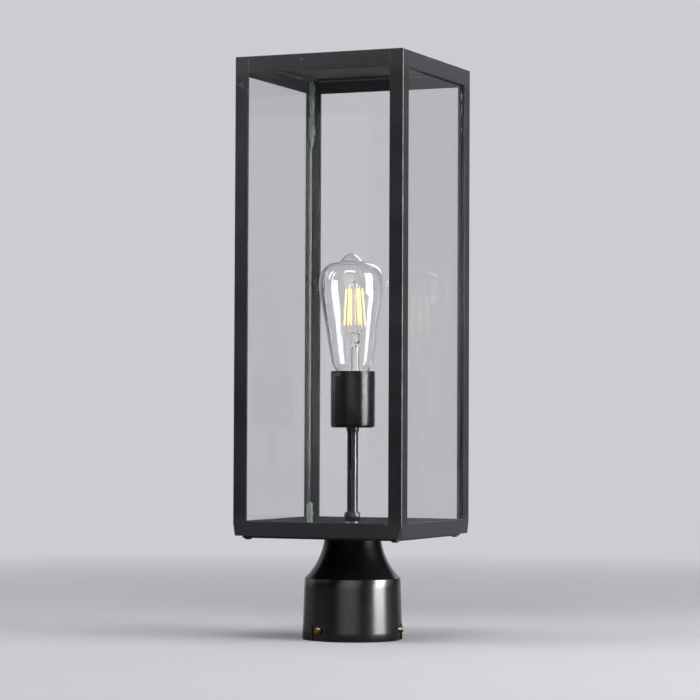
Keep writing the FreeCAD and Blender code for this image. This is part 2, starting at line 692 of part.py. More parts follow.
def pipe_nuts():
    hex_nut("stem_foot_nut", CAGE_FOOT)
    hex_nut("pipe_lock_nut", f"{WEB_FOOT} - washer_thick - nut_thick")
    hex_nut("cup_lock_nut", CUP_FLOOR)
    washer = new_body("pipe_lock_washer", z=f"{WEB_FOOT} - washer_thick")
    rings = circles(washer, "washer_circles", "XY_Plane",
                    [("0", "0", "washer_radius"), ("0", "0", THREADED_HOLE)])
    pad(washer, "washer_disc", rings, "washer_thick")


def stem_coupling():
    """Round coupling over the foot nut, two bands with a groove between."""
    body = new_body("stem_coupling", z=f"{CAGE_FOOT} + nut_thick")
    rim = "(coupling_radius - coupling_edge)"
    groove = "(coupling_radius - coupling_groove)"
    upper_band = "(coupling_height - coupling_band)"
    profile = outline(body, "coupling_profile", "XZ_Plane", [
        (THREADED_HOLE, "0"),
        (rim, "0"),
        ("coupling_radius", "coupling_edge"),
        ("coupling_radius", "coupling_band"),
        (groove, "coupling_band + coupling_slope"),
        (groove, f"{upper_band} - coupling_slope"),
        ("coupling_radius", upper_band),
        ("coupling_radius", "coupling_height - coupling_edge"),
        (rim, "coupling_height"),
        (THREADED_HOLE, "coupling_height"),
    ])
    turned(body, "coupling_turning", profile)


def earth_screw():
    """Screw for the earth lead, up into the underside of the web."""
    reach = "earth_offset"
    body = new_body("earth_screw", x=f"{reach} * cos(fitter_turn * 1 deg)",
                    y=f"{reach} * sin(fitter_turn * 1 deg)", z=WEB_FOOT)
    profile = outline(body, "earth_profile", "XZ_Plane", [
        ("0", "-earth_head_high"),
        ("earth_head_radius - earth_edge", "-earth_head_high"),
        ("earth_head_radius", "earth_edge - earth_head_high"),
        ("earth_head_radius", "0"),
        ("earth_radius", "0"),
        ("earth_radius", "earth_depth - hole_slack"),
        ("0", "earth_depth - hole_slack"),
    ])
    turned(body, "earth_turning", profile)


# ---------------------------------------------------------------------------
# Cup and lampholder.

def socket_cup():
    body = new_body("socket_cup", z="cup_bottom")
    inside = "(cup_radius - cup_wall)"
    profile = outline(body, "cup_profile", "XZ_Plane", [
        (PLAIN_HOLE, "0"),
        ("cup_radius - cup_round", "0"),
        ("cup_radius - cup_cheek", "cup_cheek"),
        ("cup_radius", "cup_round"),
        ("cup_radius", "cup_height - cup_lip"),
        ("cup_radius - cup_lip", "cup_height"),
        (f"{inside} + cup_lip", "cup_height"),
        (inside, "cup_height - cup_lip"),
        (inside, "cup_round"),
        ("cup_radius - cup_round", "cup_wall"),
        (PLAIN_HOLE, "cup_wall"),
    ])
    turned(body, "cup_turning", profile)


def cup_seat_ring():
    body = new_body("cup_seat_ring", z="cup_bottom - ring_height")
    profile = outline(body, "ring_profile", "XZ_Plane", [
        (THREADED_HOLE, "0"),
        ("pipe_radius + ring_wall - ring_slope", "0"),
        ("pipe_radius + ring_wall", "ring_taper"),
        ("pipe_radius + ring_wall", "ring_height"),
        (THREADED_HOLE, "ring_height"),
    ])
    turned(body, "ring_turning", profile)


def lampholder_bracket():
    body = new_body("lampholder_bracket", z=BRACKET_FOOT)
    half_span = "(bracket_span / 2)"
    half_width = f"({PLAIN_HOLE} + bracket_margin)"
    straight = f"({half_span} - {half_width})"
    strap = outline(body, "bracket_outline", "XY_Plane", [
        (f"-{straight}", f"-{half_width}"),
        (straight, f"-{half_width}"),
        Arc(half_width, 1),
        (half_span, "0"),
        Arc(half_width, 1),
        (straight, half_width),
        (f"-{straight}", half_width),
        Arc(half_width, 1),
        (f"-{half_span}", "0"),
        Arc(half_width, 1),
    ])
    pad(body, "bracket_strap", strap, "bracket_thick")
    screw = "bracket_screw_radius + screw_thread_gap"
    holes = circles(body, "bracket_circles", "XY_Plane", [
        ("0", "0", THREADED_HOLE), ("bracket_pitch / 2", "0", screw),
        ("-(bracket_pitch / 2)", "0", screw)])
    body.Tip = pocket(body, "bracket_holes", holes, "bracket_thick", backwards=True)


def bracket_screws():
    """Two screws from under the bracket, into the lampholder's body."""
    members = []
    for side, sign in (("left", "-"), ("right", "")):
        head = doc.addObject("Part::Cylinder", f"bracket_screw_head_{side}")
        head.setExpression("Radius", linked("bracket_head_radius"))
        head.setExpression("Height", linked("bracket_head_high"))
        shank = doc.addObject("Part::Cylinder", f"bracket_screw_shank_{side}")
        shank.setExpression("Radius", linked("bracket_screw_radius"))
        shank.setExpression("Height", linked("bracket_head_high + bracket_thick + holder_relief"))
        screw = doc.addObject("Part::Fuse", f"bracket_screw_{side}")
        screw.Base = head
        screw.Tool = shank
        place(screw, x=f"{sign}(bracket_pitch / 2)", z=f"{BRACKET_FOOT} - bracket_head_high")
        members.append(screw)
    grouped("bracket_screws", members)


def lampholder_body():
    """Moulded body: a deep socket above, a recess for pipe and leads below."""
    body = new_body("lampholder_body", z=HOLDER_FOOT)
    bore = f"({SHELL_OUTER} + shell_gap)"
    profile = outline(body, "holder_profile", "XZ_Plane", [
        ("0", "holder_relief"),
        ("holder_relief_radius", "holder_relief"),
        ("holder_relief_radius", "0"),
        ("holder_radius - holder_edge", "0"),
        ("holder_radius", "holder_edge"),
        ("holder_radius", "holder_height - holder_edge"),
        ("holder_radius - holder_edge", "holder_height"),
        (f"{bore} + socket_lead", "holder_height"),
        (bore, "holder_height - socket_lead"),
        (bore, "holder_floor"),
        ("0", "holder_floor"),
    ])
    turned(body, "holder_turning", profile)
    wires = circles(body, "wire_circles", "XY_Plane",
                    [("0", "wire_pitch", "wire_radius"), ("0", "-wire_pitch", "wire_radius")],
                    lift="holder_relief")
    pocket(body, "wire_holes", wires, "holder_floor - holder_relief", backwards=True)
    screws = circles(body, "holder_screw_circles", "XY_Plane",
                     [(f"{sign}(bracket_pitch / 2)", "0", "bracket_screw_radius + screw_thread_gap")
                      for sign in ("", "-")])
    pocket(body, "holder_screw_holes", screws, "holder_relief + hole_slack", backwards=True)
    flat_foot = "holder_radius - terminal_flat"
    half = "(terminal_head + terminal_margin)"
    low = f"terminal_height - {half}"
    high = f"terminal_height + {half}"
    flat = outline(body, "terminal_flat_outline", "YZ_Plane",
                   rectangle(f"-{half}", half, low, high), lift=flat_foot)
    cut = pocket(body, "terminal_flat_cut", flat, "2 * terminal_flat", backwards=True)
    hole = circles(body, "terminal_circle", "YZ_Plane",
                   [("0", "terminal_height", "terminal_radius + screw_thread_gap")], lift=flat_foot)
    bored = pocket(body, "terminal_hole", hole, "terminal_shank + hole_slack")
    round_pattern(body, "terminals_each_side", [cut, bored], "2")


def terminal_screws():
    members = []
    for side, turn in (("right", 0), ("left", 180)):
        head = doc.addObject("Part::Cylinder", f"terminal_head_{side}")
        head.setExpression("Radius", linked("terminal_head"))
        head.setExpression("Height", linked("terminal_proud"))
        shank = doc.addObject("Part::Cylinder", f"terminal_shank_{side}")
        shank.setExpression("Radius", linked("terminal_radius"))
        shank.setExpression("Height", linked("terminal_shank"))
        shank.setExpression("Placement.Base.z", linked("-terminal_shank"))
        screw = doc.addObject("Part::Fuse", f"terminal_screw_{side}")
        screw.Base = head
        screw.Tool = shank
        outward = 1 if turn == 0 else -1
        lay = FreeCAD.Rotation(FreeCAD.Vector(0, 1, 0), 90 * outward)
        screw.Placement = FreeCAD.Placement(FreeCAD.Vector(0, 0, 0), lay)
        screw.setExpression("Placement.Base.x", linked(f"{outward} * (holder_radius - terminal_flat)"))
        screw.setExpression("Placement.Base.z", linked(f"{HOLDER_FOOT} + terminal_height"))
        members.append(screw)
    grouped("terminal_screws", members)


def lampholder_shell():
    """Brass shell that takes the bulb's thread, its foot turned in over the floor."""
    body = new_body("lampholder_shell", z=SOCKET_FLOOR)
    profile = outline(body, "shell_profile", "XZ_Plane", [
        ("shell_inner - shell_ledge", "0"),
        (SHELL_OUTER, "0"),
        (SHELL_OUTER, "shell_height"),
        ("shell_inner", "shell_height"),
        ("shell_inner", "shell_wall"),
        ("shell_inner - shell_ledge", "shell_wall"),
    ])
    turned(body, "shell_turning", profile)


def lampholder_contact():
    """Sprung brass tongue, folded back over itself to meet the bulb's end contact."""
    body = new_body("lampholder_contact", z=SOCKET_FLOOR)
    sheet = "tongue_thick"
    end = "(tongue_crest + tongue_lip)"
    profile = outline(body, "tongue_profile", "XZ_Plane", [
        ("-tongue_foot", "0"),
        ("tongue_foot", "0"),
        ("tongue_foot", f"2 * {sheet}"),
        ("tongue_crest", "tongue_rise"),
        ("-tongue_crest", "tongue_rise"),
        (f"-{end}", "tongue_rise - tongue_lip"),
        (f"{sheet} - {end}", f"tongue_rise - tongue_lip - {sheet}"),
        ("-tongue_crest", f"tongue_rise - {sheet}"),
        (f"tongue_crest - {sheet} / 2", f"tongue_rise - {sheet}"),
        (f"tongue_foot - 2 * {sheet}", sheet),
        ("-tongue_foot", sheet),
    ])
    pad(body, "tongue_strip", profile, "tongue_width", midplane=True)


# ---------------------------------------------------------------------------
# Bulb, in its own frame: z is 0 at the end contact.

CAP_FOOT = "(tip_contact_thick + insulator_height)"
NECK_FOOT = f"({CAP_FOOT} + neck_rise)"
CAP_TOP = f"({CAP_FOOT} + cap_height)"


def bulb_outline(glass):
    """Half outline of the blown envelope; glass is how far inside the outer face it lies."""
    neck = f"(bulb_neck_radius - {glass})"
    belly = f"(bulb_radius - {glass})"
    dome = f"(dome_radius - {glass})"
    tip = f"(bulb_length - {glass})"
    return [
        (neck, NECK_FOOT),
        (neck, f"{CAP_TOP} - flare_seat"),
        (f"bulb_flare_radius - {glass}", f"{CAP_TOP} + flare_rise"),
        (f"bulb_hollow_radius - {glass}", f"{CAP_TOP} + hollow_rise"),
        Arc("waist_curve", 1),
        (f"bulb_waist_radius - {glass}", "bulb_waist_height"),
        (f"bulb_hip_radius - {glass}", "bulb_hip_height"),
        Arc("hip_curve", 1),
        (belly, "bulb_belly_height"),
        Arc("belly_curve", 1),
        (f"bulb_crown_radius - {glass} * cos(crown_lean * 1 deg)",
         f"bulb_crown_height - {glass} * sin(crown_lean * 1 deg)"),
        Arc("crown_curve", 1),
        (f"dome_radius + dome_gutter - {glass}", f"{tip} - dome_rise - gutter_rise"),
        (dome, f"{tip} - dome_rise"),
        Arc(f"(({dome} ^ 2 + dome_rise ^ 2) / (2 * dome_rise))", 1),
        ("0", tip),
    ]


def bulb_envelope():
    """Blown glass: a solid of the outer face, less a groove whose bends run straight."""
    body = new_body("bulb_envelope", z=BULB_FOOT)
    outer = outline(body, "envelope_outer", "XZ_Plane", [("0", NECK_FOOT)] + bulb_outline("0"))
    turned(body, "envelope_blank", outer)
    inside = [item for item in bulb_outline("bulb_wall") if not isinstance(item, Arc)]
    inner = outline(body, "envelope_inner", "XZ_Plane", [("0", NECK_FOOT)] + inside)
    body.Tip = turned(body, "envelope_hollow", inner, "PartDesign::Groove")


def bulb_cap():
    body = new_body("bulb_cap", z=BULB_FOOT)
    inside = "(cap_radius - cap_wall)"
    profile = outline(body, "cap_profile", "XZ_Plane", [
        ("cap_radius - cap_taper", CAP_FOOT),
        ("cap_radius", f"{CAP_FOOT} + cap_taper_high"),
        ("cap_radius", CAP_TOP),
        (inside, CAP_TOP),
        (inside, f"{CAP_FOOT} + cap_taper_high"),
        ("cap_radius - cap_taper", f"{CAP_FOOT} + cap_wall"),
    ])
    turned(body, "cap_turning", profile)


def bulb_foot_pieces():
    body = new_body("bulb_insulator", z=BULB_FOOT)
    profile = outline(body, "insulator_profile", "XZ_Plane", [
        ("0", "tip_contact_thick"),
        ("tip_contact_radius + insulator_brim", "tip_contact_thick"),
        ("cap_radius - cap_taper", CAP_FOOT),
        ("cap_radius - cap_taper", f"{CAP_FOOT} + cap_wall"),
        ("0", f"{CAP_FOOT} + cap_wall"),
    ])
    turned(body, "insulator_turning", profile)
    body = new_body("bulb_end_contact", z=BULB_FOOT)
    profile = outline(body, "contact_profile", "XZ_Plane", [
        ("0", "0"),
        ("tip_contact_flat", "0"),
        ("tip_contact_radius", "tip_contact_thick"),
        ("0", "tip_contact_thick"),
    ])
    turned(body, "contact_turning", profile)


STICK_TOP = "(bulb_length - stick_top_drop)"
STICK_SPREAD = "(stick_foot_radius - stick_top_radius)"
FIRST_STICK = 0.25                          # of the step from one stick to the next
STICK_FOOT = f"({STICK_TOP} - sqrt(stick_length ^ 2 - {STICK_SPREAD} ^ 2))"


def bulb_stem():
    """Glass mount: a flare on the neck, the stem tube, its pinch and the rod with its bead."""
    body = new_body("bulb_stem", z=BULB_FOOT)
    inside = "(bulb_neck_radius - bulb_wall)"
    pinch = f"({STICK_FOOT} - pinch_drop)"
    hub = f"({STICK_TOP} + hub_rise)"
    profile = outline(body, "stem_profile", "XZ_Plane", [
        ("0", NECK_FOOT),
        (inside, NECK_FOOT),
        (inside, f"{NECK_FOOT} + stem_lap"),
        ("stem_tube_radius", f"{NECK_FOOT} + stem_flare_high"),
        ("stem_tube_radius", pinch),
        ("pinch_radius", f"{pinch} + pinch_high"),
        ("stem_rod_radius", f"{pinch} + pinch_high + pinch_taper"),
        ("stem_rod_radius", hub),
        ("hub_radius", f"{hub} + hub_edge"),
        ("hub_radius", f"{hub} + hub_high - hub_edge"),
        ("stem_rod_radius", f"{hub} + hub_high"),
        ("0", f"{hub} + hub_high"),
    ])
    turned(body, "stem_turning", profile)


def rod(name, radius, start, finish):
    """A round rod between two points of the bulb's frame."""
    run = finish - start
    piece = doc.addObject("Part::Cylinder", name)
    piece.setExpression("Radius", linked(radius))
    piece.Height = run.Length
    spin = FreeCAD.Rotation(FreeCAD.Vector(0, 0, 1), run)
    piece.Placement = FreeCAD.Placement(start + FreeCAD.Vector(0, 0, number(BULB_FOOT)), spin)
    return piece


def on_ring(radius, angle, height):
    return FreeCAD.Vector(radius * math.cos(angle), radius * math.sin(angle), height)


def bulb_filaments():
    """Straight sticks, spread a little towards the foot, hung on fine wires."""
    count = int(number("stick_count"))
    top = number(STICK_TOP)
    foot = number(STICK_FOOT)
    gap = number("support_gap")
    hub_reach = number("hub_radius + support_radius")
    hub_height = number(f"{STICK_TOP} + hub_rise + hub_high / 2")
    pinch_reach = number("tail_reach")
    pinch_height = number(f"{STICK_FOOT} - tail_drop")
    sticks = []
    wires = []
    for index in range(count):
        angle = 2 * math.pi * (index + FIRST_STICK) / count
        high = on_ring(number("stick_top_radius"), angle, top)
        low = on_ring(number("stick_foot_radius"), angle, foot)
        along = (high - low).normalize() * gap
        hub = on_ring(hub_reach, angle, hub_height)
        pinch = on_ring(pinch_reach, angle, pinch_height)
        sticks.append(rod(f"stick_{index}", "stick_radius", low, high))
        wires.append(rod(f"hanger_{index}", "support_radius", high + along, hub))
        wires.append(rod(f"tail_{index}", "support_radius", low - along, pinch))
    grouped("bulb_filaments", sticks)
    grouped("bulb_support_wires", wires)


# ---------------------------------------------------------------------------
# Build, check and write.

def build():
    post_fitter()
    base_plate()
    set_screws()
    plate_screws()
    corner_posts()
    rails()
    roof_plate()
    glass_panes()
    glass_sealant()
    stem_pipe()
    pipe_nuts()
    stem_coupling()
    earth_screw()
    socket_cup()
    cup_seat_ring()
    lampholder_bracket()
    bracket_screws()
    lampholder_body()
    terminal_screws()
    lampholder_shell()
    lampholder_contact()
    bulb_envelope()
    bulb_cap()
    bulb_foot_pieces()
    bulb_stem()
    bulb_filaments()
    doc.recompute()


def check_objects():
    for thing in doc.Objects:
        if "Invalid" in thing.State or "Error" in thing.State:
            raise RuntimeError(f"{thing.Name} failed: {thing.State}")
    for node in nodes:
        if node.Shape.isNull() or not node.Shape.isValid():
            raise RuntimeError(f"{node.Label} has no sound shape")


def check_cuts():
    """Every pocket and groove must really take material away."""
    for body, feature in cuts:
        before = feature.BaseFeature
        if before is not None and feature.Shape.Volume > before.Shape.Volume - CLOSE:
            raise RuntimeError(f"{feature.Name} in {body.Label} cuts nothing")


def write_parts():
    os.makedirs("parts", exist_ok=True)
    for node in nodes:
        node.Shape.exportStep(f"parts/{node.Label}.step")


build()
check_objects()
check_cuts()
write_parts()
print(len(nodes), "sub-parts written")
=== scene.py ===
import json
import math

import bmesh
import bpy
from mathutils import Matrix, Vector, noise


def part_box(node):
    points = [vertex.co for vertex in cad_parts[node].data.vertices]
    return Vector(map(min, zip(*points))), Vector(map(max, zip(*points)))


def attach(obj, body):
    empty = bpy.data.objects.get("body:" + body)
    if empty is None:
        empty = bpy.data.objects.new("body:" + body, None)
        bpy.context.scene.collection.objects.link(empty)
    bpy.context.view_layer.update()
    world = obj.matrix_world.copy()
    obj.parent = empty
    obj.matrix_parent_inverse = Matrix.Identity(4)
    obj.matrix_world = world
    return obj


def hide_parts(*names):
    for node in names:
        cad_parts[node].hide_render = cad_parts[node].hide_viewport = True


# A post top lantern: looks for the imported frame. Metres, +Z up, the front of the cage faces -Y.
# Lengths are written in millimetres times MM.

MM = 0.001
SAME_SPOT = 0.001 * MM          # corners this close are one
ON_AXIS = 0.002 * MM            # a radius this small is a point on the axis

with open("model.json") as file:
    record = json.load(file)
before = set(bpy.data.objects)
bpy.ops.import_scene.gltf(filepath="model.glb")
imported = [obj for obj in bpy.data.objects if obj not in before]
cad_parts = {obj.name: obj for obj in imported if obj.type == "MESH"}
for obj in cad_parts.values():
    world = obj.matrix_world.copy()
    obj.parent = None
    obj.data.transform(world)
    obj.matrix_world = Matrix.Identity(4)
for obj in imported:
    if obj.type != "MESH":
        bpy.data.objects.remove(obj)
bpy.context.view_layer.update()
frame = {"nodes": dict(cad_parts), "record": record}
nodes = frame["nodes"]

CORNERS = ("front_left", "front_right", "rear_right", "rear_left")


# ---------------------------------------------------------------------------
# Places read from the frame.

def lowest(node):
    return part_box(node)[0]


def highest(node):
    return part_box(node)[1]


def middle(node):
    low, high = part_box(node)
    return (low + high) / 2


CAGE_HALF = highest("roof_plate").x
CAGE_FOOT = lowest("bottom_rail_front").z
ROOF_TOP = highest("roof_plate").z
PLATE_UNDER = lowest("base_plate").z
RAIL_HIGH = highest("bottom_rail_front").z - CAGE_FOOT
CAP_RIM = highest("bulb_cap").z
CAP_FOOT = lowest("bulb_cap").z
CAP_RADIUS = highest("bulb_cap").x
GLASS_FOOT = lowest("bulb_envelope").z
STICK_TOP = highest("bulb_filaments").z
STICK_FOOT = lowest("bulb_filaments").z


# ---------------------------------------------------------------------------
# Mesh making.

def new_piece(name, corners, faces, crease_deg=35):
    """A mesh object, smooth except where its faces meet more sharply than crease_deg."""
    mesh = bpy.data.meshes.new(name)
    mesh.from_pydata(corners, [], faces)
    mesh.update()
    made = bpy.data.objects.new(name, mesh)
    bpy.context.scene.collection.objects.link(made)
    settle(made, crease_deg)
    return made


def settle(piece, crease_deg=35):
    """Points all faces outwards and marks the sharp edges."""
    work = bmesh.new()
    work.from_mesh(piece.data)
    bmesh.ops.remove_doubles(work, verts=work.verts, dist=SAME_SPOT)
    bmesh.ops.recalc_face_normals(work, faces=work.faces)
    work.to_mesh(piece.data)
    work.free()
    for face in piece.data.polygons:
        face.use_smooth = True
    piece.data.set_sharp_from_angle(angle=math.radians(crease_deg))


def through(points, steps=8):
    """A smooth line through the points, as (across, up) pairs."""
    spots = [Vector(point) for point in points]
    ends = [2 * spots[0] - spots[1]] + spots + [2 * spots[-1] - spots[-2]]
    line = []
    for index in range(1, len(ends) - 2):
        before, start, finish, after = ends[index - 1:index + 3]
        for step in range(steps):
            t = step / steps
            line.append(0.5 * (2 * start + (finish - before) * t
                               + (2 * before - 5 * start + 4 * finish - after) * t ** 2
                               + (3 * start - before - 3 * finish + after) * t ** 3))
    return line + [spots[-1]]


def inset(line, distance):
    """A line beside another, to its left, the given distance away."""
    beside = []
    for index, here in enumerate(line):
        before = line[max(index - 1, 0)]
        after = line[min(index + 1, len(line) - 1)]
        run = (after - before).normalized()
        beside.append(Vector((max(here.x - run.y * distance, 0), here.y + run.x * distance)))
    return beside


def lathe(name, outline, turns=96, closed=False, swell=None, crease_deg=35):
    """Turns an outline of (radius, height) about Z; swell moves each spot's radius."""
    corners = []
    rings = []
    for radius, height in outline:
        if radius < ON_AXIS:
            rings.append([len(corners)] * turns)
            corners.append((0, 0, height))
            continue
        ring = []
        for step in range(turns):
            angle = 2 * math.pi * step / turns
            reach = radius + (swell(angle, radius, height) if swell else 0)
            ring.append(len(corners))
            corners.append((reach * math.cos(angle), reach * math.sin(angle), height))
        rings.append(ring)
    pairs = list(zip(rings, rings[1:]))
    if closed:
        pairs.append((rings[-1], rings[0]))
    faces = []
    for low, high in pairs:
        for step in range(turns):
            after = (step + 1) % turns
            spots = [low[step], low[after], high[after], high[step]]
            face = list(dict.fromkeys(spots))
            if len(face) > 2:
                faces.append(face)
    return new_piece(name, corners, faces, crease_deg)


def wire(name, path, radius, sides=10):
    """A round wire along a path, with closed ends."""
    spots = [Vector(spot) for spot in path]
    corners = []
    faces = []
    across = None
    for index, here in enumerate(spots):
        before = spots[max(index - 1, 0)]
        after = spots[min(index + 1, len(spots) - 1)]
        run = (after - before).normalized()
        if across is None:
            across = run.orthogonal().normalized()
        across = (across - run * across.dot(run)).normalized()
        other = run.cross(across)
        for side in range(sides):
            angle = 2 * math.pi * side / sides
            corners.append(here + radius * (math.cos(angle) * across + math.sin(angle) * other))
        if index:
            first = (index - 1) * sides
            for side in range(sides):
                after_side = (side + 1) % sides
                faces.append([first + side, first + after_side,
                              first + sides + after_side, first + sides + side])
    faces.append(list(range(sides)))
    faces.append(list(range((len(spots) - 1) * sides, len(spots) * sides)))
    return new_piece(name, corners, faces)


def joined(name, pieces):
    """Several meshes as one piece."""
    work = bmesh.new()
    for piece in pieces:
        piece.data.transform(piece.matrix_world)
        work.from_mesh(piece.data)
        bpy.data.objects.remove(piece)
    mesh = bpy.data.meshes.new(name)
    work.to_mesh(mesh)
    work.free()
    made = bpy.data.objects.new(name, mesh)
    bpy.context.scene.collection.objects.link(made)
    settle(made)
    return made


def cut(piece, cutter):
    """Takes the cutter's shape out of the piece."""
    knife = piece.modifiers.new("knife", "BOOLEAN")
    knife.operation = "DIFFERENCE"
    knife.solver = "EXACT"
    knife.object = cutter
    graph = bpy.context.evaluated_depsgraph_get()
    mesh = bpy.data.meshes.new_from_object(piece.evaluated_get(graph))
    piece.modifiers.clear()
    piece.data = mesh
    bpy.data.objects.remove(cutter)
    settle(piece)


def block(name, low, high, narrow=1.0):
    """A six-sided cutter; narrow shrinks its low end."""
    centre = (Vector(low) + Vector(high)) / 2
    corners = []
    for up in (low[2], high[2]):
        share = narrow if up == low[2] else 1.0
        for x, y in ((low[0], low[1]), (high[0], low[1]), (high[0], high[1]), (low[0], high[1])):
            corners.append((centre.x + (x - centre.x) * share, centre.y + (y - centre.y) * share, up))
    faces = [(0, 3, 2, 1), (4, 5, 6, 7), (0, 1, 5, 4), (1, 2, 6, 5), (2, 3, 7, 6), (3, 0, 4, 7)]
    return new_piece(name, corners, faces)


def thread(pitch, depth, foot, top, fade):
    """A swell for lathe(): a rolled thread between two heights, running out over fade."""
    def swell(angle, radius, height):
        phase = (height / pitch - angle / (2 * math.pi)) * 2 * math.pi
        ends = min(height - foot, top - height) / fade
        return -depth * (0.5 - 0.5 * math.cos(phase)) * min(max(ends, 0), 1)
    return swell


def fitted(piece, body, slot, *replaced):
    """Puts a finished piece on its body, with its finish, in place of the frame's own."""
    piece.data.materials.clear()
    piece.data.materials.append(FINISHES[slot])
    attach(piece, body)
    if replaced:
        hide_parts(*replaced)


# ---------------------------------------------------------------------------
# Node trees.

def add(tree, kind, inputs=None, **settings):
    """A node with its settings, its inputs filled or joined by name or number."""
    made = tree.nodes.new(kind)
    for name, value in settings.items():
        setattr(made, name, value)
    for name, value in (inputs or {}).items():
        if isinstance(value, bpy.types.NodeSocket):
            tree.links.new(value, made.inputs[name])
        else:
            made.inputs[name].default_value = value
    return made


def sum_of(tree, operation, *values, clamp=False):
    made = add(tree, "ShaderNodeMath", dict(enumerate(values)), operation=operation, use_clamp=clamp)
    return made.outputs[0]


def blended(tree, share, first, second):
    made = add(tree, "ShaderNodeMix", {"Factor": share}, data_type="RGBA")
    for socket, value in ((made.inputs[6], first), (made.inputs[7], second)):
        if isinstance(value, bpy.types.NodeSocket):
            tree.links.new(value, socket)
        else:
            socket.default_value = (*value, 1)
    return made.outputs[2]


def between(tree, value, low, high, to_low=0.0, to_high=1.0):
    names = {"Value": value, "From Min": low, "From Max": high, "To Min": to_low, "To Max": to_high}
    return add(tree, "ShaderNodeMapRange", names).outputs[0]


def grain(tree, scale, detail=3.0, vector=None, rough=0.5):
    names = {"Scale": scale, "Detail": detail, "Roughness": rough}
    if vector is not None:
        names["Vector"] = vector
    return add(tree, "ShaderNodeTexNoise", names).outputs[0]


def own_place(tree):
    return add(tree, "ShaderNodeTexCoord").outputs["Object"]


def own_normal(tree):
    return add(tree, "ShaderNodeNewGeometry").outputs["Normal"]


def parts_of(tree, vector):
    """The X, Y and Z of a vector."""
    return add(tree, "ShaderNodeSeparateXYZ", {0: vector}).outputs


def vector_of(tree, operation, *vectors):
    """A vector worked out from others."""
    return add(tree, "ShaderNodeVectorMath", dict(enumerate(vectors)), operation=operation).outputs[0]


def number_of(tree, operation, *vectors):
    """A number worked out from vectors, such as how far apart they lie."""
    made = add(tree, "ShaderNodeVectorMath", dict(enumerate(vectors)), operation=operation)
    return made.outputs["Value"]


def new_group(name, inputs, outputs):
    """A shared effect: a node group with named sockets."""
    group = bpy.data.node_groups.new(name, "ShaderNodeTree")
    for label, kind, value in inputs:
        socket = group.interface.new_socket(label, in_out="INPUT", socket_type=kind)
        socket.default_value = value
    for label, kind in outputs:
        group.interface.new_socket(label, in_out="OUTPUT", socket_type=kind)
    return group, group.nodes.new("NodeGroupInput"), group.nodes.new("NodeGroupOutput")


def put_mask(group, given, put, mask):
    """Sends the mask out, held back to the group's Amount."""
    share = sum_of(group, "MULTIPLY", mask, given.outputs["Amount"], clamp=True)
    group.links.new(share, put.inputs["Mask"])


NUMBER = "NodeSocketFloat"
VECTOR = "NodeSocketVector"


def worn_edges_group():
    """Edges rubbed through: Mask is 1 on a worn edge."""
    group, given, put = new_group(
        "worn edges",
        [("Width", NUMBER, 0.6 * MM), ("Breakup Scale", NUMBER, 250.0), ("Amount", NUMBER, 1.0)],
        [("Mask", NUMBER)])
    soft = add(group, "ShaderNodeBevel", {"Radius": given.outputs["Width"]}, samples=6)
    meet = number_of(group, "DOT_PRODUCT", soft.outputs[0], own_normal(group))
    edge = between(group, meet, 0.98, 0.86)
    torn = grain(group, given.outputs["Breakup Scale"], 5.0, own_place(group), 0.65)
    held = between(group, torn, 0.62, 0.36)
    put_mask(group, given, put, sum_of(group, "MULTIPLY", edge, held))
    return group


def rubbed_arris_group():
    """Edges of square work rubbed through: Mask is 1 on faces that lean between two axes.

    Upright is 1 on faces that don't lean up or down.
    """
    group, given, put = new_group(
        "rubbed arris",
        [("Breakup Scale", NUMBER, 130.0), ("Amount", NUMBER, 1.0)],
        [("Mask", NUMBER), ("Upright", NUMBER)])
    parts = parts_of(group, vector_of(group, "ABSOLUTE", own_normal(group)))
    largest = sum_of(group, "MAXIMUM", parts["X"], sum_of(group, "MAXIMUM", parts["Y"], parts["Z"]))
    least = sum_of(group, "MINIMUM", parts["X"], sum_of(group, "MINIMUM", parts["Y"], parts["Z"]))
    edge = sum_of(group, "MULTIPLY", between(group, largest, 0.985, 0.90),
                  between(group, least, 0.12, 0.04))
    torn = grain(group, given.outputs["Breakup Scale"], 6.0, own_place(group), 0.7)
    held = between(group, torn, 0.60, 0.40)
    put_mask(group, given, put, sum_of(group, "MULTIPLY", edge, held))
    group.links.new(between(group, parts["Z"], 0.3, 0.2), put.inputs["Upright"])
    return group


def rail_painted_light_group():
    """Painted light: the two levels where the rails run, coloured paler than the posts to stand in for
    the light that the rails catch. Mask is 1 there.
    """
    group, given, put = new_group(
        "rail painted light",
        [("Foot", NUMBER, 0.1), ("Top", NUMBER, 0.5), ("Depth", NUMBER, 0.0127)],
        [("Mask", NUMBER)])
    place = own_place(group)
    height = parts_of(group, place)["Z"]
    low = sum_of(group, "SUBTRACT", height, given.outputs["Foot"])
    high = sum_of(group, "SUBTRACT", given.outputs["Top"], height)
    near = sum_of(group, "DIVIDE", sum_of(group, "MINIMUM", low, high), given.outputs["Depth"])
    torn = sum_of(group, "SUBTRACT", grain(group, 60.0, 5.0, place, 0.65), 0.5)
    rim = sum_of(group, "ADD", near, torn)
    group.links.new(between(group, rim, 1.5, 0.9), put.inputs["Mask"])
    return group


def sprayed_skin_group():
    """Sprayed paint: a fine pebbled Height, and a slow Mottle for colour and gloss."""
    group, given, put = new_group(
        "sprayed skin",
        [("Pebble Scale", NUMBER, 900.0), ("Mottle Scale", NUMBER, 22.0)],
        [("Height", NUMBER), ("Mottle", NUMBER)])
    place = own_place(group)
    pebble = grain(group, given.outputs["Pebble Scale"], 2.0, place)
    drift = grain(group, given.outputs["Mottle Scale"], 6.0, place, 0.6)
    group.links.new(pebble, put.inputs["Height"])
    group.links.new(drift, put.inputs["Mottle"])
    return group


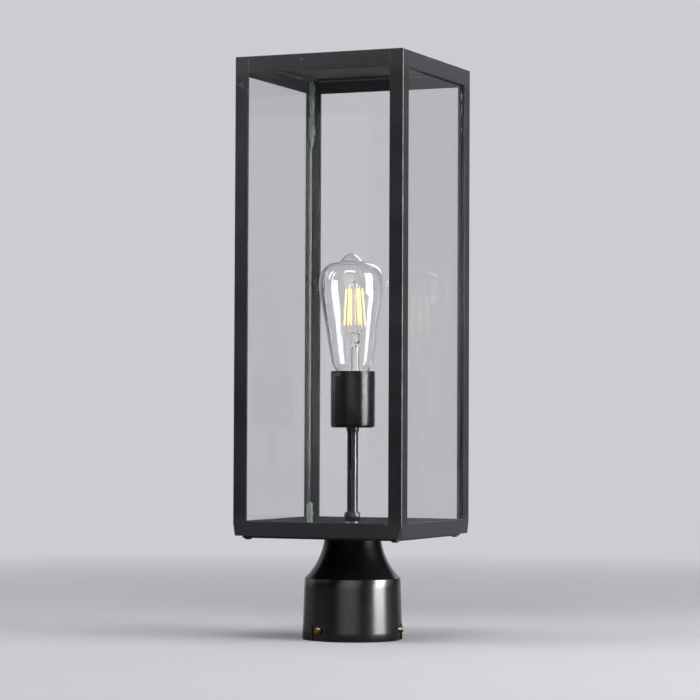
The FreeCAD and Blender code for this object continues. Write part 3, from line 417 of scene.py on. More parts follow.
def settled_dust_group():
    """Dust that lies on what faces up: Mask is 1 where it is thick."""
    group, given, put = new_group(
        "settled dust",
        [("Amount", NUMBER, 0.3), ("Clump Scale", NUMBER, 140.0)],
        [("Mask", NUMBER)])
    flat = between(group, parts_of(group, own_normal(group))["Z"], 0.35, 0.95)
    clump = between(group, grain(group, given.outputs["Clump Scale"], 6.0, own_place(group), 0.7),
                    0.35, 0.7)
    put_mask(group, given, put, sum_of(group, "MULTIPLY", flat, clump))
    return group


def spot_group():
    """One mark at a chosen place: Mask is 1 inside its ragged rim."""
    group, given, put = new_group(
        "spot",
        [("Centre", VECTOR, (0, 0, 0)), ("Radius", NUMBER, 1.0 * MM), ("Ragged", NUMBER, 0.3)],
        [("Mask", NUMBER)])
    place = own_place(group)
    away = number_of(group, "DISTANCE", place, given.outputs["Centre"])
    share = sum_of(group, "DIVIDE", away, given.outputs["Radius"])
    torn = sum_of(group, "SUBTRACT", grain(group, 1400.0, 3.0, place), 0.5)
    rim = sum_of(group, "ADD", share, sum_of(group, "MULTIPLY", torn, given.outputs["Ragged"]))
    group.links.new(between(group, rim, 1.1, 0.85), put.inputs["Mask"])
    return group


def rubbed_corner_group():
    """The near upright corner, ground bright along its length: Mask is 1 where bare."""
    group, given, put = new_group(
        "rubbed corner",
        [("Corner", VECTOR, (0, 0, 0)), ("Width", NUMBER, 1.0 * MM), ("Amount", NUMBER, 1.0)],
        [("Mask", NUMBER)])
    place = own_place(group)
    level = vector_of(group, "MULTIPLY", place, (1, 1, 0))
    away = number_of(group, "DISTANCE", level, given.outputs["Corner"])
    share = sum_of(group, "DIVIDE", away, given.outputs["Width"])
    torn = sum_of(group, "MULTIPLY", grain(group, 90.0, 6.0, place, 0.7), 1.6)
    put_mask(group, given, put, between(group, sum_of(group, "ADD", share, torn), 1.75, 1.45))
    return group


def drawn_lines_group():
    """Fine lines left by drawing or turning: long along one way, close across it."""
    group, given, put = new_group(
        "drawn lines",
        [("Stretch", VECTOR, (1, 1, 0.02)), ("Line Scale", NUMBER, 1500.0)],
        [("Height", NUMBER), ("Streak", NUMBER)])
    laid = vector_of(group, "MULTIPLY", own_place(group), given.outputs["Stretch"])
    group.links.new(grain(group, given.outputs["Line Scale"], 3.0, laid), put.inputs["Height"])
    group.links.new(grain(group, 180.0, 4.0, laid), put.inputs["Streak"])
    return group


def handled_glass_group():
    """Glass that has been handled: Haze for its roughness, Ripple for its height."""
    group, given, put = new_group(
        "handled glass",
        [("Haze Scale", NUMBER, 30.0), ("Haze Top", NUMBER, 0.04), ("Ripple Scale", NUMBER, 25.0)],
        [("Haze", NUMBER), ("Ripple", NUMBER)])
    place = own_place(group)
    smear = grain(group, given.outputs["Haze Scale"], 5.0, place, 0.62)
    haze = between(group, smear, 0.5, 0.8, 0.0, given.outputs["Haze Top"])
    group.links.new(haze, put.inputs["Haze"])
    group.links.new(grain(group, given.outputs["Ripple Scale"], 1.0, place), put.inputs["Ripple"])
    return group


WORN_EDGES = worn_edges_group()
RUBBED_ARRIS = rubbed_arris_group()
RAIL_PAINTED_LIGHT_MASK = rail_painted_light_group()
SPRAYED_SKIN = sprayed_skin_group()
SETTLED_DUST = settled_dust_group()
SPOT = spot_group()
RUBBED_CORNER = rubbed_corner_group()
DRAWN_LINES = drawn_lines_group()
HANDLED_GLASS = handled_glass_group()


def placed(tree, group, **inputs):
    """A shared effect in a material, with this material's own values."""
    made = add(tree, "ShaderNodeGroup", node_tree=group)
    for name, value in inputs.items():
        made.inputs[name.replace("_", " ").title()].default_value = value
    return made.outputs


def new_finish(name):
    finish = bpy.data.materials.new(name)
    finish.use_nodes = True
    tree = finish.node_tree
    tree.nodes.clear()
    shader = tree.nodes.new("ShaderNodeBsdfPrincipled")
    output = tree.nodes.new("ShaderNodeOutputMaterial")
    tree.links.new(shader.outputs[0], output.inputs["Surface"])
    return finish, tree, shader


def bumped(tree, shader, height, strength, distance):
    bump = add(tree, "ShaderNodeBump", {"Height": height, "Strength": strength, "Distance": distance})
    tree.links.new(bump.outputs[0], shader.inputs["Normal"])


def dry_spray(tree):
    """How much duller the level faces inside the cage are: the gun reached them at a slant."""
    level = between(tree, sum_of(tree, "ABSOLUTE", parts_of(tree, own_normal(tree))["Z"]), 0.7, 0.9)
    height = parts_of(tree, own_place(tree))["Z"]
    under = between(tree, height, ROOF_TOP - 0.5 * MM, ROOF_TOP - 1.0 * MM, 0.0, 0.6)
    return sum_of(tree, "MULTIPLY", level, under)


def pressed(tree, shader, pit, depth):
    """Adds a dent over the bump that the shader already has."""
    socket = shader.inputs["Normal"]
    before = socket.links[0].from_socket
    names = {"Height": sum_of(tree, "SUBTRACT", 1.0, pit), "Distance": depth, "Normal": before}
    tree.links.new(add(tree, "ShaderNodeBump", names).outputs[0], socket)


BARE_STEEL = (0.34, 0.30, 0.27)
# Painted light: a paler black for the rails than for the posts, standing in for the light that the
# rails catch.
RAIL_PAINTED_LIGHT_TONE = (0.0105, 0.0102, 0.0128)
DUST = (0.30, 0.28, 0.26)


def painted(name, colour, gloss, worn=0.5, width=0.6 * MM, pebble=900.0, depth=0.012 * MM, dust=0.06,
            marks=(), dents=(), lift=1.7, corner=None, square=False, shine=0.5, turned=0.0):
    """Black paint on steel: mottled, pebbled, rubbed on its edges, dusty on top."""
    finish, tree, shader = new_finish(name)
    skin = placed(tree, SPRAYED_SKIN, pebble_scale=pebble)
    lines = placed(tree, DRAWN_LINES, stretch=(0.03, 0.03, 1) if turned else (1, 1, 0.06),
                   line_scale=420.0)
    if square:
        # The rails' band of painted light; it also keeps the joints between posts and rails unrubbed.
        painted_rail_light = placed(tree, RAIL_PAINTED_LIGHT_MASK, foot=CAGE_FOOT, top=ROOF_TOP, depth=RAIL_HIGH)["Mask"]
        arris = placed(tree, RUBBED_ARRIS, amount=worn)
        seam = sum_of(tree, "MULTIPLY", arris["Upright"], painted_rail_light)
        rub = sum_of(tree, "MULTIPLY", arris["Mask"], sum_of(tree, "SUBTRACT", 1.0, seam))
    else:
        rub = placed(tree, WORN_EDGES, width=width, amount=worn)["Mask"]
    lying = placed(tree, SETTLED_DUST, amount=dust)["Mask"]
    for centre, radius in marks:
        chip = placed(tree, SPOT, centre=centre, radius=radius)["Mask"]
        rub = sum_of(tree, "MAXIMUM", rub, chip)
    if corner:
        ground = placed(tree, RUBBED_CORNER, corner=corner, width=0.5 * MM, amount=0.35)["Mask"]
        rub = sum_of(tree, "MAXIMUM", rub, ground)
    pale = tuple(lift * part for part in colour)
    patchy = sum_of(tree, "ADD", between(tree, skin["Mottle"], 0.3, 0.7, 0.0, 0.6),
                    between(tree, lines["Streak"], 0.35, 0.7, 0.0, 0.4))
    tone = blended(tree, patchy, colour, pale)
    if square:
        # Painted light: the rails are coloured paler than the posts.
        tone = blended(tree, painted_rail_light, tone, RAIL_PAINTED_LIGHT_TONE)
    tone = blended(tree, rub, tone, BARE_STEEL)
    tone = blended(tree, lying, tone, DUST)
    tree.links.new(tone, shader.inputs["Base Color"])
    tree.links.new(rub, shader.inputs["Metallic"])
    shader.inputs["IOR"].default_value = 1.6
    shader.inputs["Specular IOR Level"].default_value = shine
    sheen = between(tree, skin["Mottle"], 0.25, 0.75, gloss - 0.03, gloss + 0.05)
    dull = sum_of(tree, "ADD", sheen, sum_of(tree, "MULTIPLY", lying, 0.4))
    if square:
        dull = sum_of(tree, "ADD", dull, dry_spray(tree))
    raised = blended(tree, turned, skin["Height"], lines["Height"])
    bumped(tree, shader, raised, 0.5, depth)
    for centre, radius in dents:
        pit = placed(tree, SPOT, centre=centre, radius=radius, ragged=0.1)["Mask"]
        dull = sum_of(tree, "ADD", dull, sum_of(tree, "MULTIPLY", pit, 0.5))
        pressed(tree, shader, pit, 0.35 * MM)
    tree.links.new(sum_of(tree, "MINIMUM", dull, 0.95), shader.inputs["Roughness"])
    return finish


def bare_metal(name, colour, gloss, stretch=(1, 1, 0.02), line=1500.0, depth=0.006 * MM, tarnish=None,
               worn=0.4):
    """Plated or solid metal with drawn lines, darker where it has tarnished."""
    finish, tree, shader = new_finish(name)
    lines = placed(tree, DRAWN_LINES, stretch=stretch, line_scale=line)
    rub = placed(tree, WORN_EDGES, width=0.35 * MM, amount=worn)["Mask"]
    stain = between(tree, lines["Streak"], 0.42, 0.68)
    dark = tarnish or tuple(0.55 * part for part in colour)
    bright = tuple(min(1.25 * part, 0.95) for part in colour)
    tone = blended(tree, stain, colour, dark)
    tree.links.new(blended(tree, rub, tone, bright), shader.inputs["Base Color"])
    shader.inputs["Metallic"].default_value = 1.0
    tree.links.new(between(tree, lines["Streak"], 0.3, 0.7, gloss - 0.08, gloss + 0.12),
                   shader.inputs["Roughness"])
    bumped(tree, shader, lines["Height"], 0.4, depth)
    return finish


def clear_glass(name, tint, haze, ripple, ripple_depth, thickness_tint, density):
    """Clear glass that lets the lamps' light through to what stands behind it."""
    finish, tree, shader = new_finish(name)
    handled = placed(tree, HANDLED_GLASS, haze_top=haze, ripple_scale=ripple)
    shader.inputs["Base Color"].default_value = (*tint, 1)
    shader.inputs["Transmission Weight"].default_value = 1.0
    shader.inputs["IOR"].default_value = 1.5
    tree.links.new(handled["Haze"], shader.inputs["Roughness"])
    bumped(tree, shader, handled["Ripple"], 0.3, ripple_depth)
    output = next(item for item in tree.nodes if item.type == "OUTPUT_MATERIAL")
    path = add(tree, "ShaderNodeLightPath")
    clear = add(tree, "ShaderNodeBsdfTransparent", {"Color": (*tint, 1)})
    mixed = add(tree, "ShaderNodeMixShader",
                {0: path.outputs["Is Shadow Ray"], 1: shader.outputs[0], 2: clear.outputs[0]})
    tree.links.new(mixed.outputs[0], output.inputs["Surface"])
    body = add(tree, "ShaderNodeVolumeAbsorption",
               {"Color": (*thickness_tint, 1), "Density": density})
    tree.links.new(body.outputs[0], output.inputs["Volume"])
    return finish


def moulded(name, colour, gloss, grain_scale=600.0, depth=0.01 * MM, coat=0.0, dust=0.1, spread=0.18):
    """Moulded, glazed or dipped skin of one colour, slightly uneven."""
    finish, tree, shader = new_finish(name)
    skin = placed(tree, SPRAYED_SKIN, pebble_scale=grain_scale, mottle_scale=60.0)
    lying = placed(tree, SETTLED_DUST, amount=dust)["Mask"]
    deep = tuple(part * (1 - spread) for part in colour)
    tone = blended(tree, between(tree, skin["Mottle"], 0.3, 0.7), deep, colour)
    tree.links.new(blended(tree, lying, tone, DUST), shader.inputs["Base Color"])
    tree.links.new(between(tree, skin["Mottle"], 0.3, 0.7, gloss - 0.05, gloss + 0.07),
                   shader.inputs["Roughness"])
    shader.inputs["Coat Weight"].default_value = coat
    bumped(tree, shader, skin["Height"], 0.4, depth)
    return finish


def silicone_bead(name):
    """Clear silicone, a little milky, wiped on by hand."""
    finish, tree, shader = new_finish(name)
    skin = placed(tree, SPRAYED_SKIN, pebble_scale=260.0, mottle_scale=120.0)
    tree.links.new(blended(tree, skin["Mottle"], (0.52, 0.60, 0.60), (0.86, 0.92, 0.90)),
                   shader.inputs["Base Color"])
    tree.links.new(between(tree, skin["Mottle"], 0.3, 0.7, 0.06, 0.25), shader.inputs["Roughness"])
    shader.inputs["Transmission Weight"].default_value = 0.93
    shader.inputs["IOR"].default_value = 1.41
    bumped(tree, shader, skin["Height"], 0.8, 0.15 * MM)
    return finish


def phosphor_coat(name):
    """Yellow coat of a filament stick, grainy, slightly uneven along its length."""
    finish, tree, shader = new_finish(name)
    skin = placed(tree, SPRAYED_SKIN, pebble_scale=3500.0, mottle_scale=300.0)
    tree.links.new(blended(tree, skin["Mottle"], (0.62, 0.36, 0.06), (0.80, 0.60, 0.20)),
                   shader.inputs["Base Color"])
    tree.links.new(between(tree, skin["Mottle"], 0.3, 0.7, 0.45, 0.65), shader.inputs["Roughness"])
    shader.inputs["Subsurface Weight"].default_value = 0.25
    shader.inputs["Subsurface Radius"].default_value = (0.6 * MM, 0.4 * MM, 0.1 * MM)
    bumped(tree, shader, skin["Height"], 0.5, 0.02 * MM)
    return finish


# Marks on the cage, each a place and a radius: chips show steel, dents are pressed in.
CHIPS = (
    ((CAGE_HALF, -20.0 * MM, ROOF_TOP - 3.0 * MM), 0.9 * MM),
    ((64.8 * MM, -CAGE_HALF, CAGE_FOOT + RAIL_HIGH), 0.9 * MM),
)
DENTS = (
    ((-16.0 * MM, -CAGE_HALF, ROOF_TOP - 4.6 * MM), 1.5 * MM),
    ((-74.5 * MM, -CAGE_HALF, ROOF_TOP - 24.0 * MM), 1.8 * MM),
    ((-72.6 * MM, -CAGE_HALF, ROOF_TOP - 26.5 * MM), 1.2 * MM),
)

FINISHES = {
    "cage_paint": painted("cage_paint", (0.0022, 0.0021, 0.0029), 0.30, worn=0.25, square=True,
                          shine=0.42, lift=2.4, marks=CHIPS, dents=DENTS,
                          corner=(CAGE_HALF, -CAGE_HALF, 0)),
    "fitter_paint": painted("fitter_paint", (0.0010, 0.0010, 0.0011), 0.21, worn=0.25, pebble=700.0,
                            depth=0.05 * MM, lift=2.2, turned=0.8, shine=0.46, dust=0.02),
    "stem_paint": painted("stem_paint", (0.0012, 0.0012, 0.0015), 0.12, worn=0.15, pebble=500.0,
                          shine=0.32, depth=0.003 * MM, dust=0.03),
    "cup_paint": painted("cup_paint", (0.0010, 0.0010, 0.0012), 0.21, worn=0.2, pebble=1100.0,
                         shine=0.2, dust=0.03),
    "screw_black": painted("screw_black", (0.012, 0.0116, 0.012), 0.36, worn=0.8, width=0.3 * MM),
    "pane_glass": clear_glass("pane_glass", (0.985, 0.99, 0.99), 0.02, 3.0, 0.02 * MM,
                              (0.60, 0.80, 0.78), 13.0),
    "bulb_glass": clear_glass("bulb_glass", (1.0, 1.0, 1.0), 0.01, 60.0, 0.02 * MM,
                              (0.9, 0.95, 0.92), 4.0),
    "sealant": silicone_bead("sealant"),
    "brass": bare_metal("brass", (0.24, 0.155, 0.06), 0.28, tarnish=(0.05, 0.035, 0.02), worn=0.9),
    "zinc": bare_metal("zinc", (0.62, 0.61, 0.58), 0.36, tarnish=(0.40, 0.39, 0.36)),
    "nickel": bare_metal("nickel", (0.70, 0.67, 0.61), 0.22, stretch=(0.02, 0.02, 1)),
    "nickel_wire": bare_metal("nickel_wire", (0.62, 0.55, 0.46), 0.3, tarnish=(0.30, 0.20, 0.13)),
    "solder": bare_metal("solder", (0.60, 0.60, 0.60), 0.4, line=900.0),
    "porcelain": moulded("porcelain", (0.80, 0.78, 0.72), 0.22, coat=0.5),
    "cap_insulator": moulded("cap_insulator", (0.015, 0.015, 0.02), 0.2),
    "earth_green": painted("earth_green", (0.03, 0.22, 0.07), 0.4, worn=0.5),
    "phosphor": phosphor_coat("phosphor"),
}


# ---------------------------------------------------------------------------
# The bulb. Its glass leans a little in its cap, as a glued bulb does.

VIEW_TURN = math.radians(23.47)          # the lantern's front, turned from the camera
CAMERA_RIGHT = Vector((math.cos(VIEW_TURN), math.sin(VIEW_TURN), 0))
CAMERA_AHEAD = Vector((-math.sin(VIEW_TURN), math.cos(VIEW_TURN), 0))
BULB_LEAN = math.radians(-1.15)


def lean(piece):
    """Tips a piece of the bulb about the middle of the cap's rim."""
    pivot = Matrix.Translation((0, 0, CAP_RIM))
    tip = Matrix.Rotation(BULB_LEAN, 4, CAMERA_AHEAD)
    piece.data.transform(pivot @ tip @ pivot.inverted())


MOUNT_ASIDE = 2.2 * MM


def set_aside(piece):
    """Moves the mount's upper part off the cap's axis, as it was sealed in, then leans it."""
    for corner in piece.data.vertices:
        share = min(max((corner.co.z - GLASS_FOOT) / (12 * MM), 0), 1)
        corner.co += CAMERA_RIGHT * MOUNT_ASIDE * share * share * (3 - 2 * share)
    lean(piece)


# Radius and height of the blown glass, in mm; the height is from the cap's rim.
GLASS_LINE = [
    (12.3, -8.0), (12.3, -0.8), (13.2, 0.6), (14.6, 2.6), (16.6, 5.4), (18.1, 8.0), (18.8, 10.8),
    (19.8, 17.0), (21.3, 26.0), (23.6, 41.5), (27.2, 61.5), (28.7, 71.0), (29.2, 78.0),
    (28.8, 85.6), (26.6, 91.6), (21.9, 96.4), (16.6, 98.9), (12.8, 99.7), (10.4, 100.3),
    (9.0, 101.5), (7.2, 103.4), (4.6, 105.7), (2.2, 107.0), (0.0, 107.4),
]
GLASS_WALL = 0.7 * MM


def glass_bulb():
    line = through([(radius * MM, CAP_RIM + rise * MM) for radius, rise in GLASS_LINE], 7)
    for spot in line:
        spot.x = max(spot.x, 0)
    line[-1].x = 0
    inner = inset(line, GLASS_WALL)
    inner[-1] = Vector((0, line[-1].y - GLASS_WALL))
    piece = lathe("glass_bulb", line + inner[::-1], 128, closed=True)
    lean(piece)
    fitted(piece, "bulb", "bulb_glass", "bulb_envelope")


PINCH_FOOT = STICK_FOOT - 17.0 * MM
PINCH_TOP = STICK_FOOT - 7.0 * MM


def glass_mount():
    """The flare sealed into the neck, the stem's tube, its flat pinch, the rod and its bead."""
    hub = STICK_TOP + 2.0 * MM
    outer = through([
        (11.3 * MM, GLASS_FOOT + 0.3 * MM), (10.4 * MM, GLASS_FOOT + 2.4 * MM),
        (6.4 * MM, GLASS_FOOT + 6.4 * MM), (3.9 * MM, GLASS_FOOT + 11.0 * MM),
        (3.7 * MM, PINCH_FOOT - 5.0 * MM), (3.6 * MM, PINCH_FOOT), (3.3 * MM, PINCH_TOP - 2.0 * MM),
        (2.0 * MM, PINCH_TOP), (1.25 * MM, PINCH_TOP + 3.0 * MM), (1.2 * MM, hub - 2.0 * MM),
        (1.5 * MM, hub), (2.5 * MM, hub + 1.4 * MM), (2.4 * MM, hub + 2.8 * MM),
        (1.2 * MM, hub + 4.0 * MM), (0.8 * MM, hub + 5.4 * MM), (0.7 * MM, hub + 7.6 * MM),
        (0.4 * MM, hub + 8.6 * MM), (0.0, hub + 8.8 * MM),
    ], 6)
    hollow = through([
        (0.0, PINCH_FOOT - 1.0 * MM), (1.6 * MM, PINCH_FOOT - 2.2 * MM),
        (2.9 * MM, PINCH_FOOT - 6.0 * MM), (3.1 * MM, GLASS_FOOT + 11.6 * MM),
        (5.6 * MM, GLASS_FOOT + 6.0 * MM), (9.6 * MM, GLASS_FOOT + 1.9 * MM),
        (10.6 * MM, GLASS_FOOT + 0.3 * MM),
    ], 6)
    piece = lathe("glass_mount", hollow + outer, 48)
    for corner in piece.data.vertices:
        share = (corner.co.z - PINCH_FOOT) / (PINCH_TOP - PINCH_FOOT)
        flat = math.sin(math.pi * min(max(share, 0), 1)) ** 0.5 if 0 < share < 1 else 0
        corner.co.x *= 1 + 0.45 * flat
        corner.co.y *= 1 - 0.45 * flat
    settle(piece)
    set_aside(piece)
    fitted(piece, "bulb", "bulb_glass", "bulb_stem")


STICK_COUNT = 6
STICK_RADIUS = 0.72 * MM
TOP_RING = 7.2 * MM
FOOT_RING = 9.4 * MM
FIRST_STICK = 0.25


def on_ring(radius, angle, height):
    return Vector((radius * math.cos(angle), radius * math.sin(angle), height))


def stick_ends(index):
    angle = 2 * math.pi * (index + FIRST_STICK) / STICK_COUNT
    return angle, on_ring(FOOT_RING, angle, STICK_FOOT), on_ring(TOP_RING, angle, STICK_TOP)


def filament_sticks():
    """Straight sticks with rounded ends under their coat."""
    sticks = []
    for index in range(STICK_COUNT):
        _, low, high = stick_ends(index)
        length = (high - low).length
        dome = [(STICK_RADIUS * math.sin(t), STICK_RADIUS * (1 - math.cos(t)))
                for t in (math.pi / 2 * step / 6 for step in range(7))]
        outline = dome + [(radius, length - height) for radius, height in dome[::-1]]
        stick = lathe(f"stick_{index}", outline, 16)
        turn = (high - low).to_track_quat("Z", "Y").to_matrix().to_4x4()
        stick.data.transform(Matrix.Translation(low) @ turn)
        sticks.append(stick)
    piece = joined("filament_sticks", sticks)
    set_aside(piece)
    fitted(piece, "bulb", "phosphor", "bulb_filaments")


def filament_wires():
    """Fine wires from the bead to the sticks' tops, and from their feet into the pinch."""
    radius = 0.22 * MM
    wires = []
    for index in range(STICK_COUNT):
        angle, low, high = stick_ends(index)
        along = (high - low).normalized()
        hub = STICK_TOP + 4.0 * MM
        top = [on_ring(2.0 * MM, angle, hub), on_ring(4.2 * MM, angle, hub + 0.9 * MM),
               on_ring(6.4 * MM, angle, hub - 0.4 * MM), high + along * 1.0 * MM,
               high - along * 0.8 * MM]
        foot = [low + along * 0.8 * MM, low - along * 1.4 * MM,
                on_ring(8.2 * MM, angle, STICK_FOOT - 4.2 * MM),
                on_ring(4.6 * MM, angle, STICK_FOOT - 6.4 * MM),
                on_ring(1.4 * MM, angle, PINCH_TOP - 1.5 * MM)]
        for name, path in (("hanger", top), ("tail", foot)):
            wires.append(wire(f"{name}_{index}", through(path, 5), radius))
        for end, way in ((high, along), (low, -along)):
            wires.append(wire(f"clip_{index}", [end - way * 0.4 * MM, end + way * 1.3 * MM],
                              STICK_RADIUS * 0.62))
    for side in (-1, 1):
        lead = [(side * 1.3 * MM, 0, PINCH_TOP - 4.0 * MM), (side * 1.4 * MM, 0, PINCH_FOOT - 6 * MM),
                (side * 1.2 * MM, 0, GLASS_FOOT + 8.0 * MM), (side * 3.0 * MM, 0, CAP_FOOT + 6 * MM)]
        wires.append(wire(f"lead_{side}", through(lead, 6), radius))
    for side, rise in ((-2.0, 1.2), (0.4, 0.9), (2.0, 1.4)):
        spot = CAMERA_RIGHT * side * MM + Vector((0, 0, PINCH_FOOT + rise * MM))
        wires.append(wire("knot", [spot, spot + Vector((0, 0, 1.1 * MM))], 0.5 * MM))
    piece = joined("filament_wires", wires)
    set_aside(piece)
    fitted(piece, "bulb", "nickel_wire", "bulb_support_wires")


def threaded_cap():
    """The bulb's cap with its rolled thread."""
    pitch = 3.6 * MM
    wall = 0.35 * MM
    slope = 2.0 * MM
    steps = 84
    foot_radius = CAP_RADIUS - 2.2 * MM
    outside = [(foot_radius, CAP_FOOT), (CAP_RADIUS - 0.5 * MM, CAP_FOOT + slope)]
    run = CAP_RIM - CAP_FOOT - slope
    outside += [(CAP_RADIUS, CAP_FOOT + slope + run * step / steps) for step in range(1, steps + 1)]
    inside = [(radius - wall, height) for radius, height in outside[::-1]]
    swell = thread(pitch, 0.7 * MM, CAP_FOOT + slope, CAP_RIM - 3.0 * MM, 2.0 * MM)
    piece = lathe("threaded_cap", outside + inside, 96, closed=True, swell=swell, crease_deg=60)
    fitted(piece, "bulb", "nickel", "bulb_cap")


# ---------------------------------------------------------------------------
# Stem, cup and screws.

def rolled_cup():
    low, high = lowest("socket_cup"), highest("socket_cup")
    outer = high.x
    wall = 1.0 * MM
    hole = 5.15 * MM
    shape = [(hole, low.z), (outer, low.z), (outer, high.z), (outer - wall, high.z),
             (outer - wall, low.z + wall), (hole, low.z + wall)]
    corner = [Vector(spot) for spot in shape]
    path = [corner[0]]
    path += bend(corner[0], corner[1], corner[2], 2.6 * MM, 8)
    path += bend(corner[1], corner[2], corner[3], 0.45 * MM, 4)
    path += bend(corner[2], corner[3], corner[4], 0.45 * MM, 4)
    path += bend(corner[3], corner[4], corner[5], 1.6 * MM, 6)
    path += [corner[5]]
    piece = lathe("rolled_cup", path, 128, closed=True)
    fitted(piece, "post_base", "cup_paint", "socket_cup")


def bend(before, here, after, radius, steps):
    """A corner bent to a quarter round."""
    start = here + (before - here).normalized() * radius
    finish = here + (after - here).normalized() * radius
    centre = start + finish - here
    line = []
    for step in range(steps + 1):
        t = math.pi / 2 * step / steps
        line.append(centre + (start - centre) * math.cos(t) + (finish - centre) * math.sin(t))
    return line


def lumpy_coupling():
    """The coupling with its coarse grip and lumps of paint."""
    low, high = lowest("stem_coupling"), highest("stem_coupling")
    outer = high.x
    hole = 4.95 * MM
    height = high.z - low.z
    rows = 40
    ribs = 11

    def swell(angle, radius, at):
        if radius < hole * 1.05:
            return 0
        rib = abs(math.sin(ribs * angle / 2)) ** 0.6
        spot = Vector((math.cos(angle), math.sin(angle), at / (6 * MM)))
        lumps = noise.noise(spot * 2.1) * 0.5 * MM + noise.noise(spot * 5.3) * 0.3 * MM
        return (rib - 1) * 0.6 * MM + lumps

    side = []
    for row in range(rows + 1):
        t = row / rows
        waist = 0.7 * MM * math.exp(-((t - 0.5) / 0.09) ** 2)
        lip = 1.4 * MM * max(0, 1 - min(t, 1 - t) / 0.12) ** 2
        side.append((outer - waist - lip, low.z + height * t))
    path = [(hole, low.z)] + side + [(hole, high.z)]
    piece = lathe("lumpy_coupling", path, 96, closed=True, swell=swell, crease_deg=60)
    fitted(piece, "post_base", "stem_paint", "stem_coupling")


def stand_on(piece, origin, way):
    """Turns a piece made along +Z so that it starts at origin and points along way."""
    turn = way.to_track_quat("Z", "Y").to_matrix().to_4x4()
    piece.data.transform(Matrix.Translation(origin) @ turn)


def threaded_shank(radius, length, chamfer, pitch, depth, steps_per_pitch=8):
    """The outline of a screw's shank from its point up, and the swell of its thread."""
    steps = max(int(length / pitch * steps_per_pitch), 8)
    outline = [(0, 0), (radius - chamfer, 0)]
    outline += [(radius, chamfer + (length - 2 * chamfer) * step / steps) for step in range(steps + 1)]
    outline += [(radius - chamfer, length)]
    return outline, thread(pitch, depth, chamfer, length - chamfer, pitch * 0.5)


def slotted_set_screw(side):
    """A brass set screw with a slot in its outer end."""
    node = f"set_screw_{side}"
    centre = middle(node)
    way = Vector((centre.x, centre.y, 0)).normalized()
    inner, outer = 40.0 * MM, 46.3 * MM
    length = outer - inner
    outline, swell = threaded_shank(radius=3.0 * MM, length=length, chamfer=0.5 * MM,
                                    pitch=1.0 * MM, depth=0.35 * MM)
    piece = lathe(node + "_slotted", outline + [(0, length)], 48, swell=swell, crease_deg=60)
    slot = 1.0 * MM
    cut(piece, block("slot", (-4 * MM, -slot / 2, length - 1.3 * MM), (4 * MM, slot / 2, length + MM)))
    stand_on(piece, way * inner + Vector((0, 0, centre.z)), way)
    fitted(piece, node, "brass", node)


def cross_head_screw(corner):
    """A pan head screw with a cross recess, head down under the plate."""
    node = f"plate_screw_{corner}"
    low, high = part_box(node)
    centre = (low + high) / 2
    head_radius = (high.x - low.x) / 2
    head_high = 1.5 * MM
    length = high.z - PLATE_UNDER
    pitch, depth = 0.7 * MM, 0.3 * MM
    outline, _ = threaded_shank(2.0 * MM, length, 0.5 * MM, pitch, depth)
    outline = [(radius, length - height) for radius, height in outline[:-1]][::-1]
    flipped = thread(pitch, depth, 0.4 * MM, length - 0.6 * MM, 0.4 * MM)
    head = [(0, -head_high), (1.4 * MM, -head_high), (2.5 * MM, -head_high + 0.25 * MM),
            (3.2 * MM, -head_high + 0.7 * MM), (head_radius, -head_high + 1.1 * MM),
            (head_radius, -0.1 * MM), (head_radius - 0.1 * MM, 0), (2.0 * MM, 0)]

    def shank_only(angle, radius, height):
        return flipped(angle, radius, height) if height > 0.3 * MM else 0

    piece = lathe(node + "_cross", head + outline, 48, swell=shank_only, crease_deg=50)
    arm, half = 1.9 * MM, 0.35 * MM
    for reach_x, reach_y in ((arm, half), (half, arm)):
        cut(piece, block("recess", (-reach_x, -reach_y, -head_high - MM),
                         (reach_x, reach_y, -head_high + 1.2 * MM)))
    piece.data.transform(Matrix.Rotation(math.radians(20 + 31 * CORNERS.index(corner)), 4, "Z"))
    piece.data.transform(Matrix.Translation((centre.x, centre.y, PLATE_UNDER)))
    fitted(piece, node, "screw_black", node)


# ---------------------------------------------------------------------------
# Sealant wiped by hand into the corners between panes.

PANE_FACE = 74.7 * MM
BEAD = 2.5 * MM
SMEAR = 6.5 * MM
CORNER_SIGNS = ((-1, -1), (1, -1), (1, 1), (-1, 1))


def bead_outline(size, reach, bulge, steps=8):
    """A bead's section in its corner: reach along one pane, size along the other."""
    spots = [Vector((0, 0))]
    for step in range(steps + 1):
        share = step / steps
        hollow = 1 - bulge * math.sin(math.pi * share)
        spots.append(Vector((reach * (1 - share) ** 1.6, size * share)) * hollow)
    return spots


def sealant_bead(name, signs, low, high, smear):
    """One bead up a corner, uneven, wiped out along the side pane by up to smear."""
    rows = int((high - low) / (0.9 * MM))
    corners = []
    faces = []
    for row in range(rows + 1):
        share = row / rows
        height = low + (high - low) * share
        ends = max(min(1, 5 * share, 12 * (1 - share)), 0.02) ** 0.5
        seed = Vector((signs[0] * 7.3, signs[1] * 3.1, height / (4 * MM)))
        fine = seed * 2.6
        size = BEAD * ends * (1.1 + 0.6 * noise.noise(seed) + 0.4 * noise.noise(fine))
        reach = ends * (BEAD + smear * (0.7 + 0.5 * noise.noise(seed * 0.6) + 0.3 * noise.noise(fine)))
        spots = bead_outline(size, reach, 0.25 + 0.3 * noise.noise(seed * 2.3))
        for spot in spots:
            corners.append((signs[0] * (PANE_FACE - spot.y), signs[1] * (PANE_FACE - spot.x), height))
    ring = len(spots)
    for row in range(rows):
        for step in range(ring):
            after = (step + 1) % ring
            faces.append([row * ring + step, row * ring + after,
                          (row + 1) * ring + after, (row + 1) * ring + step])
    faces.append(list(range(ring)))
    faces.append(list(range(rows * ring, (rows + 1) * ring)))
    return new_piece(name, corners, faces, 70)


